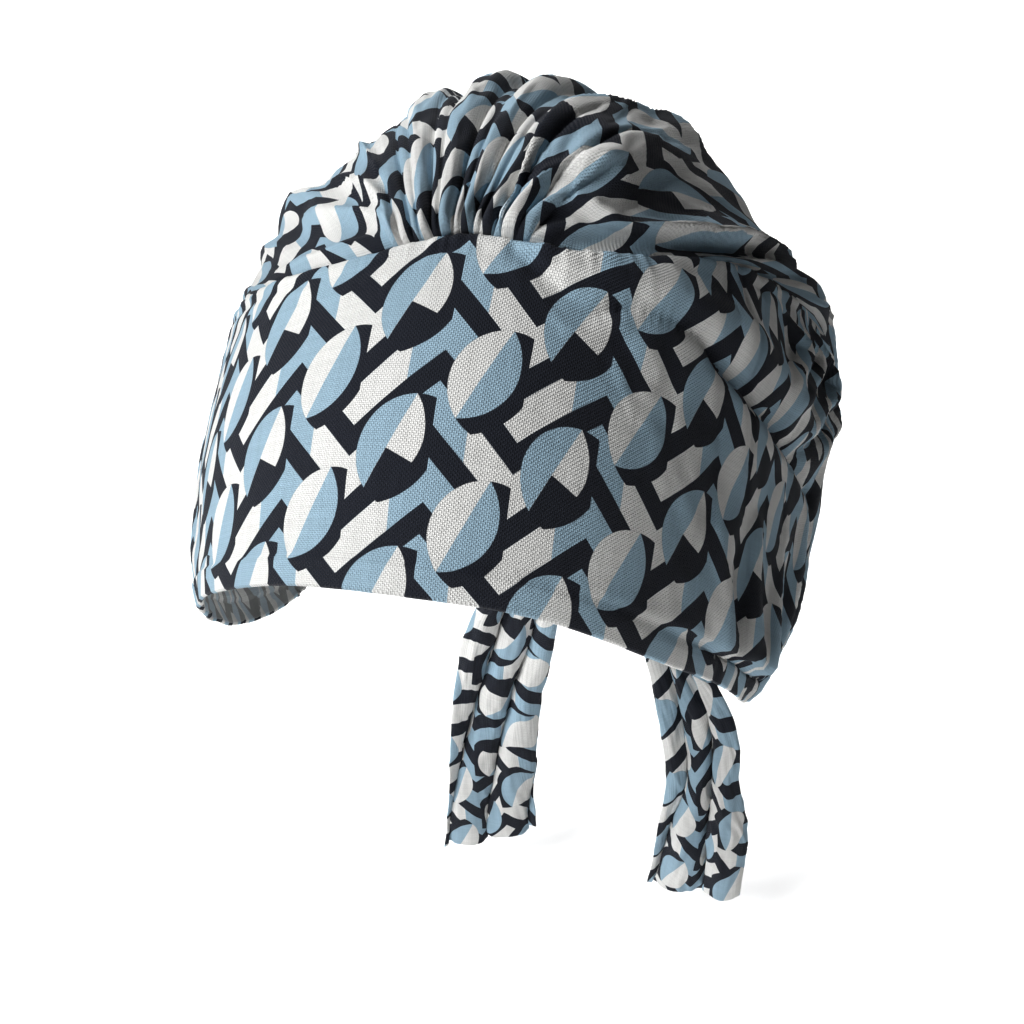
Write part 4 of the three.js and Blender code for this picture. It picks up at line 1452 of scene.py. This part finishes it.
def make_sky(settings):
    """An even faint light from all round, from a sky that looks white itself."""
    world = bpy.data.worlds.new("studio")
    world.use_nodes = True
    nodes, links = world.node_tree.nodes, world.node_tree.links
    sky, seen = nodes["Background"], nodes.new("ShaderNodeBackground")
    for background, strength in ((sky, settings.sky), (seen, settings.seen_sky)):
        background.inputs["Color"].default_value = WHITE
        background.inputs["Strength"].default_value = strength
    path, either = nodes.new("ShaderNodeLightPath"), nodes.new("ShaderNodeMixShader")
    links.new(path.outputs["Is Camera Ray"], either.inputs[0])
    links.new(sky.outputs[0], either.inputs[1])
    links.new(seen.outputs[0], either.inputs[2])
    links.new(either.outputs[0], nodes["World Output"].inputs["Surface"])
    bpy.context.scene.world = world


def make_floor(settings):
    """A round pale floor, just under the tails."""
    low = CAD_BOUNDS[0][2] - FLOOR["gap"]
    turns = np.linspace(0, 2 * np.pi, FLOOR["corners"], endpoint=False)
    radius = FLOOR["radius"]
    corners = [(radius * math.cos(turn), radius * math.sin(turn), low) for turn in turns]
    mesh = bpy.data.meshes.new("floor")
    mesh.from_pydata(corners, [], [list(range(len(corners)))])
    floor = added("floor", mesh)
    material = bpy.data.materials.new("pale_floor")
    material.use_nodes = True
    shader = material.node_tree.nodes["Principled BSDF"]
    shader.inputs["Base Color"].default_value = settings.floor_colour
    shader.inputs["Roughness"].default_value = FLOOR["roughness"]
    mesh.materials.append(material)
    return floor


def make_stage(settings):
    """A plain pale floor, soft studio light and the camera."""
    make_camera()
    make_light("key", settings.key)
    make_light("back", settings.back)
    backdrop = make_light("backdrop", settings.backdrop)
    make_sky(settings)
    bpy.context.scene.view_settings.view_transform = "Standard"
    bpy.context.scene.view_settings.gamma = settings.contrast
    lit = bpy.data.collections.new("lit_backdrop")
    lit.objects.link(make_floor(settings))
    backdrop.light_linking.receiver_collection = lit


# ---- Operators ---------------------------------------------------------------------------


class TURBAN_OT_brow_band(bpy.types.Operator):
    """Makes the wide doubled brow band"""

    bl_idname = "turban.brow_band"
    bl_label = "Brow band"

    def execute(self, context):
        brow_band(context.scene.turban_cloth)
        return {"FINISHED"}


class TURBAN_OT_crown(bpy.types.Operator):
    """Makes the gathered crown"""

    bl_idname = "turban.crown"
    bl_label = "Crown"

    def execute(self, context):
        crown(context.scene.turban_cloth)
        return {"FINISHED"}


class TURBAN_OT_nape_casing(bpy.types.Operator):
    """Makes the elastic casing round the nape"""

    bl_idname = "turban.nape_casing"
    bl_label = "Nape casing"

    def execute(self, context):
        nape_casing(context.scene.turban_cloth)
        return {"FINISHED"}


class TURBAN_OT_ties(bpy.types.Operator):
    """Makes the knot and the two tails"""

    bl_idname = "turban.ties"
    bl_label = "Knot and tails"

    def execute(self, context):
        tie_knot(context.scene.turban_cloth)
        for seed, (name, table) in enumerate(TAILS.items(), FIRST_TAIL_SEED):
            tie_tail(name, table, seed, context.scene.turban_cloth)
        return {"FINISHED"}


class TURBAN_OT_stage(bpy.types.Operator):
    """Makes the floor, the lights and the camera"""

    bl_idname = "turban.stage"
    bl_label = "Stage"

    def execute(self, context):
        make_stage(context.scene.turban_stage)
        return {"FINISHED"}


class TURBAN_PT_pieces(bpy.types.Panel):
    """Lists the turban's pieces and settings"""

    bl_idname = "TURBAN_PT_pieces"
    bl_label = "Turban"
    bl_space_type = "VIEW_3D"
    bl_region_type = "UI"
    bl_category = "Turban"

    def draw(self, context):
        for operator in STEPS:
            self.layout.operator(operator.bl_idname)
        for group in (context.scene.turban_cloth, context.scene.turban_stage):
            for name in group.__annotations__:
                self.layout.prop(group, name)


STEPS = (
    TURBAN_OT_stage,
    TURBAN_OT_brow_band,
    TURBAN_OT_crown,
    TURBAN_OT_nape_casing,
    TURBAN_OT_ties,
)
CLASSES = (TurbanCloth, TurbanStage, *STEPS, TURBAN_PT_pieces)


def register():
    for cls in CLASSES:
        bpy.utils.register_class(cls)
    bpy.types.Scene.turban_cloth = bpy.props.PointerProperty(type=TurbanCloth)
    bpy.types.Scene.turban_stage = bpy.props.PointerProperty(type=TurbanStage)


def unregister():
    del bpy.types.Scene.turban_stage
    del bpy.types.Scene.turban_cloth
    for cls in reversed(CLASSES):
        bpy.utils.unregister_class(cls)


def main():
    """Builds every piece in order."""
    register()
    bpy.ops.turban.stage()
    bpy.ops.turban.brow_band()
    bpy.ops.turban.crown()
    bpy.ops.turban.nape_casing()
    bpy.ops.turban.ties()


if __name__ == "__main__":
    main()
